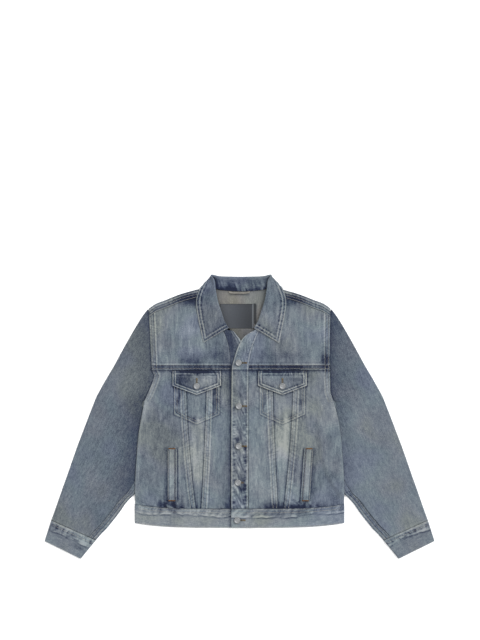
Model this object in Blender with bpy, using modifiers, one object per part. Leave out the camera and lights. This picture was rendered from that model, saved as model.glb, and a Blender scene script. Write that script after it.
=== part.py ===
"""A denim jacket, buttoned and laid flat on its back, its sleeves beside the body.

X runs across the jacket, with +X the wearer's left. Y runs from the hem up to the
collar, and Z up from the surface. The origin is on the surface, at the middle of the
jacket. All sizes are in millimetres until a mesh is made.

Each cloth piece is worked out as the middle surface of its wall, on a grid, and gets
its thickness from Solidify. The back lies on the surface and the fronts lie on the back.
A field of heights lifts both where a sleeve or the collar's leaf lies under them.
"""

import math

import bpy
import numpy as np

MM = 0.001

# Cloth
WALL = 1.2  # one layer of denim
PLY = 1.8  # two layers: plackets and collar
BAND = 2.0  # waistband, cuffs and flaps
SEAM_GAP = 0.3  # between pieces that are sewn together
LAYER_GAP = 0.3  # between a panel and what lies on it

# Heights of the middle of each wall above the surface
BACK_Z = WALL / 2
FRONT_Z = 3.6
SLEEVE_TOP_Z = 4.2
UNDER_PLACKET_Z = 3.8
LAP_RISE = 2.1  # how much the left front is lifted by the right placket
BAND_BACK_Z = BAND / 2
BAND_FRONT_Z = 4.0
BAND_LAP_RISE = 2.3
CUFF_TOP_Z = 4.6

# Body, half width X at each height Y
ARMHOLE_END_Y = 37  # below this the side is a fold, above it the armhole seam
SIDE_EDGE = {
    "y": (-223, -184, -135, -100, -59, -16, 10, 37, 58, 80, 102, 116, 269),
    "x": (261, 261.5, 259.5, 257, 254, 248, 243, 238.5, 229, 219.5, 213, 219.5, 227),
}
SHOULDER = {
    "x": (84, 104, 125, 146, 184, 215, 227),
    "y": (317, 317, 312, 306, 291, 278, 269),
}
SHOULDER_WRAP = 20  # how far the back yoke comes over the shoulder to its seam
YOKE_Y = 116  # front yoke seam
BACK_YOKE_Y = 110
WAIST_Y = -218.5  # waistband's upper edge at the sides
HEM_Y = -266
HEM_SAG = 12  # the hem hangs this much lower at the centre
SAG_FROM_Y = -60
HALF_WAIST = 262
SIDE_RETURN = 18  # how far the front wraps under to the side seam
ARMHOLE_RETURN = 6  # the same where the fold ends at the armhole
NARROW_FROM_Y = 16
ARMHOLE_GAP = 0.4
ARMHOLE_ROWS = (ARMHOLE_END_Y, 58, 80, 102)
SIDE_ROWS = (-210, -194, -170, -145, -100, -50, -10, 10, 24) + ARMHOLE_ROWS

# The sleeve's edge lies this far in under the body's side
SLEEVE_UNDER = {
    "y": (-194, -170, -145, -100, -50, -10, 10, 24, 37),
    "width": (0, 16, 28, 42, 46, 40, 30, 16, 0),
}
SLEEVE_LIFT = 5.1
SLEEVE_LIFT_LOW_Y = (-210, -194)  # the lift grows from the first height to the second
SLEEVE_LIFT_TOP_Y = (38, 58)  # and fades from the first to the second
SLEEVE_RAMP = 16
SLEEVE_CLEAR = 4
NARROWEST_COLUMN = 4

# Neck and collar
NECK_SHIFT = 4  # the neck lies this far to the wearer's left
COLLAR_LIFT = 2.6
COLLAR_LIFT_HALF = 104
COLLAR_RAMP = 16
COLLAR_LIFT_Y = (270, 292)
NECK_SEAM_Y = 317.5
NECK_HALF = 90
SHOULDER_COLUMNS = (104, 125, 146, 165, 184, 200, 215, 227)
YOKE_ROWS = (0, 0.25, 0.5, 0.75, 0.88, 1)  # shares of the back yoke's height
FRONT_NECK_CORNER = (87, 296)  # where the front yoke meets the neck and the shoulder
FRONT_SHOULDER_X = 97
FRONT_NECK_GAP = 1.2
ROLL_RADIUS = 1.9
# One row for each section, from the collar's front end to the middle of the back:
# centre of the roll, bearing of its outward side, its tilt (90 leaf above the stand,
# -90 leaf under it), the leaf's outer edge and the neck seam.
COLLAR_SECTIONS = (
    # roll x, y, z,    bearing, tilt, edge x, y, z,    neck x, y, z
    (33.5, 220.0, 8.2, -29, 90, 95.0, 183.0, 5.9, 33.0, 215.5, 4.8),
    (44.0, 238.0, 9.8, -20, 90, 101.0, 214.0, 5.9, 51.0, 233.0, 4.6),
    (52.0, 262.0, 11.0, -12, 88, 108.0, 248.0, 6.2, 66.0, 260.0, 4.8),
    (61.0, 290.0, 12.0, 0, 78, 112.5, 288.0, 8.6, 82.0, 291.0, 6.6),
    (66.0, 318.0, 12.0, 15, 55, 104.0, 318.0, 8.8, 86.0, 312.0, 7.0),
    (68.7, 340.8, 9.5, 31, 9, 96.0, 327.5, 3.0, 78.0, 320.5, 5.8),
    (73.8, 352.0, 5.0, 53, -20, 88.0, 331.5, 0.95, 66.0, 320.0, 5.2),
    (54.0, 348.0, 3.0, 90, -90, 57.0, 304.0, 0.95, 52.0, 316.0, 5.0),
    (27.0, 347.0, 2.9, 90, -90, 28.0, 303.0, 0.95, 26.0, 313.5, 5.0),
    (0.0, 346.5, 2.9, 90, -90, 0.0, 303.0, 0.95, 0.0, 312.5, 5.0),
)

# Front opening, from the waist up to the neck
PLACKET_ROWS = (
    # free edge x, y,   seam x, y
    (-21, WAIST_Y, 21.0, WAIST_Y),
    (-21, -140, 21.2, -140),
    (-21, -60, 21.4, -60),
    (-20.5, 30, 21.6, 30),
    (-19.5, 116, 22.0, 116),
    (-15.5, 141, 23.5, 138),
    (-9.5, 165, 26.5, 160),
    (-1.5, 186, 32.0, 182),
    (8.5, 200, 40.0, 204),
    (20.5, 208.5, 49.5, 222),
    (32.8, 211.0, 59.5, 238.0),
)
PLACKET_SHIFT_Y = (116, 210)  # over these heights the plackets take on the neck's shift
PLACKET_YOKE_ROW = 4
LAP_FROM_X = 45
LAP_FULL_X = 25

# Front panels, X of each seam at each height
PANEL_START_X = 22.1
SEAM_Y = (-230, -134, -34, 116)
INNER_SEAM_X = (97, 91, 86, 81)
OUTER_SEAM_X = (108, 120, 129, 135)
PANEL_ROWS = (-194, -145, -100, -50, 0, 58)

# Chest pockets
POCKET_X = 107
POCKET_HALF = 60.5
POCKET_TOP_Y = YOKE_Y - 2
FLAP_CORNER_Y = 77
FLAP_TIP_Y = 54
BAG_CORNER_Y = 5
BAG_TIP_Y = -20
BAG_WALL = 1.0
BAG_INSET = 1

# Side pocket welts
WELT_X = (157, 180)
WELT_Y = (-209, -78)
WELT_WALL = 1.6

# Sleeve, one row for each section from the shoulder to the cuff: the silhouette's
# outer edge, and the height of the section's inner end. The first rows end at the
# armhole, the next under the body's side, and the last where the sleeve shows.
SLEEVE_ROWS = (
    # outer x, y,  inner y
    (230, 267.5, 262),
    (247, 244, 235),
    (268, 209, 195),
    (290, 170, 155),
    (310, 133, 116),
    (318, 119, 102),
    (330, 99, 80),
    (342, 78, 58),
    (353, 58, 37),
    (359, 46, 24),
    (366, 28, 10),
    (374, 8, -10),
    (390, -34, -50),
    (407, -79, -100),
    (422, -122, -145),
    (431, -148, -170),
    (440, -173, -194),
    (446, -190, -219),
    (452, -207, -249),
    (460, -230, -279),
    (470.5, -259, -309),
)
# Where the sleeve's inner edge shows below the body
SLEEVE_INNER = {
    "y": (-309, -294, -279, -264, -249, -234, -219, -204, -194),
    "x": (359, 346, 331, 319, 307, 296, 286, 273, 261.5),
}
TOP_SLEEVE_RETURN = 25
TOP_SLEEVE_SHARE = 0.6  # the return is at most this share of the section's width
UNDERARM_RETURN = 20
UNDERARM_START = 3
CUFF_CORNERS = ((470.8, -259.6), (359.2, -309.6), (397, -355.5), (487, -311))
CUFF_COLUMNS = (0.33, 0.67)

# Soft creases on the sleeve: start, end, half width and height
SLEEVE_CREASES = (
    # x, y,      x, y,    half width, height
    (330, -40, 395, -20, 16, 1.0),
    (300, -110, 400, -95, 14, 1.1),
    (318, -175, 415, -140, 13, 1.0),
    (345, -230, 430, -200, 12, 0.8),
    (265, 120, 300, 20, 18, 0.9),
)

# Waistband columns, closer together where the left front rises over the right one
BAND_COLUMNS = (-21, 0, 21, 30, 38, 46, 80, 120, 160, 200, 230, 248)

# Trims
BUTTON_RADIUS = 7.8
BUTTON_HEIGHT = 4.2
BUTTON_STEPS = 16
BUTTON_PROFILE = (
    # shares of the radius and of the height, from the middle of the dish to the shank
    (0, 0.86),
    (0.55, 0.88),
    (0.78, 1),
    (1, 0.72),
    (0.9, 0.45),
    (0.45, 0),
    (0, 0),
)
FRONT_BUTTONS = ((-2.5, 134), (-2, 26), (-2.5, -74), (-4, -165), (-6, -259))
FLAP_BUTTON_Y = 76
LABEL = {"x": (-49, 35), "y": (220, 281), "wall": 1.0}
LOOP = {"x": (-28, 26), "y": 306.5, "width": 4.5, "wall": 1.0, "arch": 1.6}

DENIM = (0.20, 0.26, 0.33, 1)
DENIM_PALE = (0.26, 0.31, 0.36, 1)
LABEL_GREY = (0.09, 0.095, 0.11, 1)
TAPE = (0.45, 0.42, 0.35, 1)
NICKEL = (0.55, 0.55, 0.54, 1)


def step(low, high, value):
    """0 below low, 1 above high, and an even S between them."""
    t = np.clip((np.asarray(value, float) - low) / (high - low), 0, 1)
    return t * t * (3 - 2 * t)


def spline(points, count):
    """count points, evenly spaced along a Catmull-Rom curve through the points."""
    p = np.asarray(points, float)
    p = np.vstack([2 * p[0] - p[1], p, 2 * p[-1] - p[-2]])
    t = np.linspace(0, 1, 13)[:-1, None]
    spans = [
        0.5
        * (
            2 * b
            + (c - a) * t
            + (2 * a - 5 * b + 4 * c - d) * t**2
            + (3 * b - a - 3 * c + d) * t**3
        )
        for a, b, c, d in zip(p, p[1:], p[2:], p[3:])
    ]
    dense = np.vstack(spans + [p[-2:-1]])
    length = np.append(0, np.cumsum(np.linalg.norm(np.diff(dense, axis=0), axis=1)))
    at = np.linspace(0, length[-1], count)
    return np.stack([np.interp(at, length, dense[:, k]) for k in range(p.shape[1])], 1)


def side_x(y):
    """The body's half width: the side fold, and above it the armhole seam."""
    return np.interp(y, SIDE_EDGE["y"], SIDE_EDGE["x"])


def side_return(y):
    """How far the front wraps under the body's side: less as the fold ends at the armhole."""
    return np.interp(y, (NARROW_FROM_Y, ARMHOLE_END_Y), (SIDE_RETURN, ARMHOLE_RETURN))


def hem_drop(x):
    """How far the waistband lies below its ends: most at the centre."""
    return -HEM_SAG * (1 - (np.abs(x) / HALF_WAIST) ** 4)


def sag(x, y):
    """The body's share of the hem's drop, growing from SAG_FROM_Y down to the waist."""
    return hem_drop(x) * step(-SAG_FROM_Y, -WAIST_Y, -y)


def ramp_start(y):
    """X at which the body starts to rise over the edge of the sleeve."""
    width = np.interp(y, SLEEVE_UNDER["y"], SLEEVE_UNDER["width"])
    return side_x(y) - width - SLEEVE_CLEAR - SLEEVE_RAMP


def ramp_columns(y, limit):
    """X at the start, middle and end of that rise, kept inside the limit and apart."""
    end = np.minimum(ramp_start(y) + SLEEVE_RAMP, limit)
    middle = np.minimum(ramp_start(y) + SLEEVE_RAMP / 2, end - NARROWEST_COLUMN)
    start = np.minimum(ramp_start(y), middle - NARROWEST_COLUMN)
    return start, middle, end


def lift(x, y):
    """How far the cloth of the body is lifted, by the sleeve under it or by the collar's leaf."""
    fade_from, fade_to = SLEEVE_LIFT_TOP_Y
    along = step(*SLEEVE_LIFT_LOW_Y, y) * step(-fade_to, -fade_from, -y)
    sleeve = SLEEVE_LIFT * along * step(0, SLEEVE_RAMP, np.abs(x) - ramp_start(y))
    across = step(0, COLLAR_RAMP, COLLAR_LIFT_HALF + COLLAR_RAMP - np.abs(x - NECK_SHIFT))
    return sleeve + COLLAR_LIFT * step(*COLLAR_LIFT_Y, y) * across


def lap(x):
    """1 where the left front lies on the right placket, 0 away from it."""
    return step(-LAP_FROM_X, -LAP_FULL_X, -x)


def front_z(x, y, side):
    """Height of a front's middle surface: the left front (side 1) rises over the lap."""
    over = LAP_RISE * lap(x) if side > 0 else 0
    return FRONT_Z + lift(x, y) + over


def material(name, colour, roughness=0.85, metallic=0.0):
    made = bpy.data.materials.new(name)
    made.use_nodes = True
    shader = made.node_tree.nodes["Principled BSDF"]
    shader.inputs["Base Color"].default_value = colour
    shader.inputs["Roughness"].default_value = roughness
    shader.inputs["Metallic"].default_value = metallic
    return made


def add_object(name, mesh, finish):
    obj = bpy.data.objects.new(name, mesh)
    obj.data.materials.append(finish)
    bpy.data.collections["denim_jacket"].objects.link(obj)
    return obj


def sheet(name, grid, wall, finish, keep=None, ring=False):
    """A cloth piece: the grid is the middle of its wall, and keep says which faces it has."""
    rows, columns = grid.shape[:2]
    last = columns if ring else columns - 1
    faces = [
        (
            r * columns + c,
            r * columns + (c + 1) % columns,
            (r + 1) * columns + (c + 1) % columns,
            (r + 1) * columns + c,
        )
        for r in range(rows - 1)
        for c in range(last)
        if keep is None or keep[r][c]
    ]
    used = sorted({v for face in faces for v in face})
    index = {v: k for k, v in enumerate(used)}
    points = (grid.reshape(-1, 3)[used] * MM).tolist()
    mesh = bpy.data.meshes.new(name)
    mesh.from_pydata(points, [], [[index[v] for v in face] for face in faces])
    mesh.shade_smooth()
    obj = add_object(name, mesh, finish)
    solid = obj.modifiers.new("wall", "SOLIDIFY")
    solid.thickness = wall * MM
    solid.offset = 0


def with_z(x, y, z):
    """A grid of points from its plan and its heights."""
    return np.stack([x, y, z + np.zeros_like(x)], axis=-1)


def rows_between(left, right, columns):
    """A grid whose rows run straight from each point of left to the same one of right."""
    t = np.linspace(0, 1, columns)[None, :, None]
    return left[:, None] * (1 - t) + right[:, None] * t


def half_turn(z_from, z_to):
    """(outward, z) round a half turn from its upper to its lower side, as a last axis."""
    angle = np.linspace(math.pi / 2, -math.pi / 2, 5)
    radius = np.asarray(z_from - z_to)[..., None] / 2
    low = np.asarray(z_to)[..., None]
    return radius * np.cos(angle), low + radius * (1 + np.sin(angle))


def wrapped_rows(flat, edge_x, return_x, wall, under_z):
    """The flat rows of a front, then a half turn at its side and the return under it."""
    z_from = flat[:, -1, 2]
    out, z = half_turn(z_from, under_z)
    sign = np.sign(edge_x)[:, None]
    radius = ((z_from - under_z) / 2)[:, None]
    x = edge_x[:, None] - sign * (radius + wall / 2) + sign * out
    y = np.repeat(flat[:, -1:, 1], out.shape[1], axis=1)
    turn = np.stack([x, y, z], axis=-1)
    end = turn[:, -1:].copy()
    end[:, 0, 0] = return_x
    middle = (turn[:, -1:] + end) / 2
    return np.concatenate([flat, turn[:, 1:], middle, end], axis=1)


def build_back(finish):
    """The back panel, whose edges rise over the sleeves and end at the side seams."""
    y = np.array((WAIST_Y,) + SIDE_ROWS + (BACK_YOKE_Y - SEAM_GAP,))
    edge = np.where(y <= ARMHOLE_END_Y, side_x(y) - side_return(y) - SEAM_GAP, side_x(y))
    start, middle, end = ramp_columns(y, edge - NARROWEST_COLUMN)
    half = np.stack([start / 3, start * 2 / 3, start, middle, end, edge], axis=1)
    x = np.concatenate([-half[:, ::-1], np.zeros((len(y), 1)), half], axis=1)
    y = np.repeat(y[:, None], x.shape[1], axis=1)
    sheet("back", with_z(x, y + sag(x, y), BACK_Z + lift(x, y)), WALL, finish)


def shoulder_seam(top_x):
    """The seam between back and front yoke, for points of the shoulder at top_x."""
    y = np.interp(np.abs(top_x), SHOULDER["x"], SHOULDER["y"]) - SHOULDER_WRAP
    return top_x * side_x(y) / side_x(SHOULDER["y"][-1]), y


def build_back_yoke(finish):
    """From the back panel up to the neck seam, and over each shoulder to its seam in front."""
    shoulder_x = np.array(SHOULDER_COLUMNS)
    ends = np.array((-NECK_HALF, NECK_HALF)) + NECK_SHIFT
    top_x = np.concatenate([-shoulder_x[::-1], np.linspace(*ends, 8), shoulder_x])
    in_neck = np.abs(top_x - NECK_SHIFT) < NECK_HALF - 1
    shoulder_y = np.interp(np.abs(top_x), SHOULDER["x"], SHOULDER["y"])
    top_y = np.where(in_neck, NECK_SEAM_Y, shoulder_y - (WALL + FRONT_Z - BACK_Z) / 2)
    share = np.array(YOKE_ROWS)[:, None]
    y = BACK_YOKE_Y * (1 - share) + top_y * share
    x = top_x * side_x(y) / side_x(SHOULDER["y"][-1])
    lower = with_z(x, y, BACK_Z + lift(x, y))
    out, z = half_turn(front_z(x[-1], y[-1], -1), lower[-1, :, 2])
    turn = np.stack([x[-1] + 0 * out.T, y[-1] + out.T, z.T], axis=-1)[::-1]
    end_x, end_y = shoulder_seam(top_x)
    end = with_z(end_x[None], end_y[None] + SEAM_GAP / 2, front_z(end_x, end_y, -1)[None])
    grid = np.concatenate([lower, turn[1:], end])
    neck_faces = in_neck[:-1] | in_neck[1:]
    keep = np.ones((len(grid) - 1, len(top_x) - 1), bool)
    keep[len(lower) - 1 :, neck_faces] = False
    sheet("back_yoke", grid, WALL, finish, keep)


def neck_edge(side, away):
    """The neck seam's plan in front, moved away from the neck."""
    rows = np.array(COLLAR_SECTIONS[:4])
    return np.stack([side * (rows[:, 8] + away) + NECK_SHIFT, rows[:, 9] - away / 2], axis=1)


def placket_edges(side):
    """Free edge and seam of a placket, which follow the neck's shift near the collar."""
    rows = np.array(PLACKET_ROWS, float)
    edges = []
    for x, y in (rows[:, :2].T, rows[:, 2:].T):
        edges.append(np.stack([side * x + NECK_SHIFT * step(*PLACKET_SHIFT_Y, y), y], axis=1))
    return edges


def build_front_yoke(side, name, finish):
    """The patch between the placket and neck, the shoulder seam, the armhole and the yoke seam."""
    seam = placket_edges(side)[1][PLACKET_YOKE_ROW:] + (side * SEAM_GAP, 0)
    corner_x, corner_y = FRONT_NECK_CORNER
    neck_end = np.array([(side * corner_x + NECK_SHIFT, corner_y)])
    inner = np.vstack([seam, neck_edge(side, FRONT_NECK_GAP)[2:3], neck_end])
    top_x = side * np.linspace(FRONT_SHOULDER_X, SHOULDER["x"][-1], 11)
    top = np.stack(shoulder_seam(top_x), axis=1)
    top = np.vstack([neck_end, top - (0, SEAM_GAP)])
    arm_y = np.linspace(YOKE_Y, top[-1, 1], len(inner))
    outer = np.stack([side * side_x(arm_y), arm_y], axis=1)
    bottom = np.linspace(inner[0], outer[0], len(top))
    grid = patch(bottom, top, inner, outer)
    x, y = grid[..., 0], grid[..., 1]
    sheet(name, with_z(x, y, front_z(x, y, side)), WALL, finish)


def patch(bottom, top, left, right):
    """A grid between four edges: each point is blended from the edges across from it."""
    b, t, a, c = bottom[None], top[None], left[:, None], right[:, None]
    u = np.linspace(0, 1, len(bottom))[None, :, None]
    v = np.linspace(0, 1, len(left))[:, None, None]
    corners = (1 - u) * (1 - v) * b[:, :1] + u * (1 - v) * b[:, -1:]
    corners = corners + (1 - u) * v * t[:, :1] + u * v * t[:, -1:]
    return (1 - v) * b + v * t + (1 - u) * a + u * c - corners


def seam_x(seam, y):
    """X of a front seam, given by its table, at height y."""
    return np.interp(y, SEAM_Y, seam)


def build_front_panel(side, name, x_from, x_to, columns, finish):
    """A panel between two seams, from the waistband to the yoke."""
    y = np.array((WAIST_Y,) + PANEL_ROWS + (YOKE_Y - SEAM_GAP,))
    share = np.linspace(0, 1, columns)
    x = x_from(y)[:, None] * (1 - share) + x_to(y)[:, None] * share
    y = np.repeat(y[:, None], columns, axis=1)
    x = side * x
    sheet(name, with_z(x, y + sag(x, y), front_z(x, y, side)), WALL, finish)


def build_front_side(side, name, finish):
    """The side panel, which wraps round the body's side below the armhole to the side seam."""
    y = np.array((WAIST_Y,) + SIDE_ROWS + (YOKE_Y - SEAM_GAP,))
    folded = y <= ARMHOLE_END_Y
    start = seam_x(OUTER_SEAM_X, y) + SEAM_GAP / 2
    radius = (FRONT_Z - BACK_Z) / 2
    edge = side_x(y)
    end = np.where(folded, edge - radius - WALL / 2, edge)
    first, second, third = ramp_columns(y, end - 1)
    level = [start + (first - start) * k / 3 for k in range(4)]
    x = np.stack(level + [second, third, (third + end) / 2, end], axis=1) * side
    y_grid = np.repeat(y[:, None], x.shape[1], axis=1)
    flat = with_z(x, y_grid + sag(x, y_grid), front_z(x, y_grid, side))
    under_x = side * (edge - side_return(y))
    under_z = BACK_Z + lift(x[:, -1], y)
    grid = wrapped_rows(flat, side * edge, under_x, WALL, under_z)
    grid[:, -1, 2] = BACK_Z + lift(under_x, y)
    grid[:, -2, 2] = BACK_Z + lift(grid[:, -2, 0], y)
    keep = np.ones((len(y) - 1, grid.shape[1] - 1), bool)
    keep[y[:-1] >= ARMHOLE_END_Y, x.shape[1] - 1 :] = False
    sheet(name, grid, WALL, finish, keep)


def build_placket(side, name, finish):
    """The strip along a front's opening, which turns aside along the neck."""
    grid = rows_between(*placket_edges(side), 4)
    x, y = grid[..., 0], grid[..., 1]
    z = UNDER_PLACKET_Z + (LAP_RISE * lap(x) if side > 0 else 0)
    sheet(name, with_z(x, y + sag(x, y), z + lift(x, y)), PLY, finish)


def pentagon(side, corner_y, tip_y, shrink):
    """A pocket's outline: a straight top on the yoke seam, and a pointed lower edge."""
    x = np.linspace(-1, 1, 9)[None]
    half = POCKET_HALF - shrink
    low = tip_y + (corner_y - tip_y) * np.abs(x)
    share = np.linspace(0, 1, 5)[:, None]
    y = low * (1 - share) + POCKET_TOP_Y * share
    return side * POCKET_X + half * x + 0 * y, y


def build_pocket_bag(side, name, finish):
    """The chest pocket's bag, on the inside of the front."""
    x, y = pentagon(side, BAG_CORNER_Y, BAG_TIP_Y, BAG_INSET)
    z = front_z(x, y, side) - WALL / 2 - LAYER_GAP - BAG_WALL / 2
    sheet(name, with_z(x, y, z), BAG_WALL, finish)


def build_flap(side, name, finish):
    """The chest pocket's flap, which lies on the front below the yoke seam."""
    x, y = pentagon(side, FLAP_CORNER_Y, FLAP_TIP_Y, 0)
    z = front_z(x, y, side) + WALL / 2 + LAYER_GAP + BAND / 2
    sheet(name, with_z(x, y, z), BAND, finish)


def build_welt(side, name, finish):
    """The strip along the opening of a side pocket."""
    y = np.linspace(*WELT_Y, 5)[:, None] + np.zeros((1, 3))
    x = side * (np.linspace(*WELT_X, 3)[None] + np.zeros((5, 1)))
    z = front_z(x, y, side) + WALL / 2 + LAYER_GAP + WELT_WALL / 2
    sheet(name, with_z(x, y + sag(x, y), z), WELT_WALL, finish)


def build_waistband(finish):
    """A back length, and two fronts that wrap round to its ends and lap in the middle."""
    y = np.linspace(HEM_Y, WAIST_Y - SEAM_GAP, 4)
    half = HALF_WAIST - SIDE_RETURN - SEAM_GAP
    x = np.linspace(-half, half, 17)[None] + np.zeros((4, 1))
    y_grid = y[:, None] + np.zeros_like(x)
    sheet("waistband_back", with_z(x, y_grid + hem_drop(x), BAND_BACK_Z), BAND, finish)
    edge = np.full(4, HALF_WAIST)
    end = HALF_WAIST - (BAND_FRONT_Z - BAND_BACK_Z) / 2 - BAND / 2
    for side, name in ((1, "waistband_front_left"), (-1, "waistband_front_right")):
        x = side * np.array(BAND_COLUMNS + (end,))[None] + np.zeros((4, 1))
        y_grid = y[:, None] + hem_drop(x)
        rise = BAND_LAP_RISE * lap(x) if side > 0 else 0
        flat = with_z(x, y_grid, BAND_FRONT_Z + rise)
        under = side * (edge - SIDE_RETURN)
        grid = wrapped_rows(flat, side * edge, under, BAND, np.full(4, BAND_BACK_Z))
        sheet(name, grid, BAND, finish)


def sleeve_plan():
    """Outer and inner end of each section of the sleeve."""
    table = np.array(SLEEVE_ROWS, float)
    y = table[:, 2]
    hidden = side_x(y) - np.interp(y, SLEEVE_UNDER["y"], SLEEVE_UNDER["width"])
    seen = np.interp(y, SLEEVE_INNER["y"], SLEEVE_INNER["x"])
    x = np.where(y > SLEEVE_INNER["y"][-1], hidden, seen)
    x = np.where(y >= ARMHOLE_END_Y, side_x(y) + ARMHOLE_GAP, x)
    return table[:, :2], np.stack([x, y], axis=1)


def crease_height(x, y):
    """Soft ridges: each falls off across its line as a bell, and towards its ends."""
    total = np.zeros_like(x)
    for x0, y0, x1, y1, half, height in SLEEVE_CREASES:
        along = np.array((x1 - x0, y1 - y0), float)
        length = np.linalg.norm(along)
        along /= length
        s = ((x - x0) * along[0] + (y - y0) * along[1]) / length
        d = -(x - x0) * along[1] + (y - y0) * along[0]
        total += height * np.exp(-((d / half) ** 2)) * np.exp(-(((s - 0.5) / 0.5) ** 4))
    return total


def across_section(side, ends, distances, z):
    """Points at the given distances from the outer end of each section, at heights z."""
    outer, inner = ends
    width = np.linalg.norm(inner - outer, axis=1)[:, None]
    plan = outer[:, None] + (inner - outer)[:, None] * (distances / width)[..., None]
    return np.stack([side * plan[..., 0], plan[..., 1], z + 0 * distances], axis=-1)


def fold(z_from, z_to, wall):
    """Distances in from a fold's edge, and heights, round from its upper to its lower side."""
    out, z = half_turn(z_from, z_to)
    return (z_from - z_to + wall) / 2 - out, z


def build_sleeve(side, top_name, under_name, finish):
    """Two pieces: the top sleeve wraps under at the outer edge, the under sleeve comes up inside."""
    ends = sleeve_plan()
    rows = len(SLEEVE_ROWS)
    width = np.linalg.norm(ends[1] - ends[0], axis=1)[:, None]
    folded = ends[1][:, 1:] <= ARMHOLE_END_Y
    turn, turn_z = fold(SLEEVE_TOP_Z, BACK_Z, WALL)
    reach = turn[0]
    underarm = np.where(folded, UNDERARM_RETURN, 0)
    underarm[folded.argmax()] = UNDERARM_START
    start = width - underarm
    shares = np.linspace(0, 1, 8)[:-1]
    seam = np.minimum(TOP_SLEEVE_RETURN, width * TOP_SLEEVE_SHARE)
    flat = start + (reach - start) * shares
    distances = np.concatenate([flat, turn + 0 * width, seam], axis=1)
    z = np.concatenate([np.full(len(shares), SLEEVE_TOP_Z), turn_z, [BACK_Z]])
    top = across_section(side, ends, distances, z)
    creases = crease_height(side * top[..., 0], top[..., 1])
    top[..., 2] += (z >= SLEEVE_TOP_Z) * creases
    sheet(top_name, top, WALL, finish)

    start = seam + SEAM_GAP
    end = np.where(folded, width - reach, width)
    shares = np.linspace(0, 1, 6)
    flat = start + (end - start) * shares
    up = width - turn[::-1]
    last = width - np.maximum(underarm, UNDERARM_START) + SEAM_GAP
    distances = np.concatenate([flat[:, :-1], np.where(folded, up, end), last], axis=1)
    z = np.concatenate([np.full(len(shares) - 1, BACK_Z), turn_z[::-1], [SLEEVE_TOP_Z]])
    under = across_section(side, ends, distances, z)
    keep = np.ones((rows - 1, distances.shape[1] - 1), bool)
    keep[: folded.argmax(), len(shares) - 1 :] = False
    sheet(under_name, under, WALL, finish, keep)


def build_cuff(side, name, finish):
    """A flattened ring between the sleeve's end and the cuff's hem."""
    a, b, c, d = (np.array(p) for p in CUFF_CORNERS)
    share = np.linspace(0, 1, 4)[:, None]
    outer, inner = a * (1 - share) + d * share, b * (1 - share) + c * share
    width = np.linalg.norm(inner - outer, axis=1)[:, None]
    turn, turn_z = fold(CUFF_TOP_Z, BAND_BACK_Z, BAND)
    middle = turn[0] + (width - 2 * turn[0]) * np.array(CUFF_COLUMNS)[None]
    around = [turn[::-1] + 0 * width, middle, width - turn, middle[:, ::-1]]
    z = np.concatenate([turn_z[::-1], [CUFF_TOP_Z] * 2, turn_z, [BAND_BACK_Z] * 2])
    grid = across_section(side, (outer, inner), np.concatenate(around, axis=1), z)
    sheet(name, grid, BAND, finish, ring=True)


def collar_profile(section):
    """One section: out from the edge of the leaf, over the roll and down to the neck seam."""
    roll, edge, neck = section[0:3], section[5:8], section[8:11]
    bearing, tilt = math.radians(section[3]), math.radians(section[4])
    outward = np.array((math.cos(bearing), math.sin(bearing), 0))
    up = np.array((0, 0, 1.0))
    apart = math.cos(tilt) * outward + math.sin(tilt) * up
    crown = math.cos(tilt) * up - math.sin(tilt) * outward
    angle = np.linspace(0, math.pi, 6)[:, None]
    turn = roll + ROLL_RADIUS * (np.cos(angle) * apart + np.sin(angle) * crown)
    leaf = hermite(edge, turn[0], (turn[0] - edge), crown, 6)
    stand = hermite(turn[-1], neck, -crown, (neck - turn[-1]), 4)
    return np.vstack([leaf[:-1], turn, stand[1:]])


def hermite(start, end, out, into, count):
    """A curve that leaves start along out and reaches end along into."""
    length = np.linalg.norm(end - start)
    out = out / np.linalg.norm(out) * length
    into = into / np.linalg.norm(into) * length
    t = np.linspace(0, 1, count)[:, None]
    return (
        (2 * t**3 - 3 * t**2 + 1) * start
        + (t**3 - 2 * t**2 + t) * out
        + (3 * t**2 - 2 * t**3) * end
        + (t**3 - t**2) * into
    )


def build_collar(finish):
    """Both halves of the collar as one strip, from front end to front end."""
    sections = spline(COLLAR_SECTIONS, 19)
    half = np.array([collar_profile(section) for section in sections])
    half[..., 2] = np.maximum(half[..., 2], PLY / 2)
    other = half[-2::-1] * (-1, 1, 1)
    grid = np.concatenate([half, other])
    grid[..., 0] += NECK_SHIFT
    sheet("collar", grid, PLY, finish)


def build_label(finish):
    """The blank label, on the back yoke inside the neck."""
    x = np.linspace(*LABEL["x"], 4)[None] + np.zeros((5, 1))
    y = np.linspace(*LABEL["y"], 5)[:, None] + np.zeros((1, 4))
    z = BACK_Z + lift(x, y) + WALL / 2 + LAYER_GAP + LABEL["wall"] / 2
    sheet("neck_label", with_z(x, y, z), LABEL["wall"], finish)


def build_hanger_loop(finish):
    """A tape with both ends on the back yoke, arched a little between them."""
    share = np.linspace(0, 1, 9)
    x = np.interp(share, (0, 1), LOOP["x"])[:, None] + np.zeros((1, 2))
    y = LOOP["y"] + np.array((-0.5, 0.5))[None] * LOOP["width"] + np.zeros((9, 1))
    arch = LOOP["arch"] * np.sin(math.pi * share)[:, None] ** 2
    z = BACK_Z + lift(x, y) + WALL / 2 + LAYER_GAP + LOOP["wall"] / 2 + arch
    sheet("hanger_loop", with_z(x, y, z), LOOP["wall"], finish)


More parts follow.
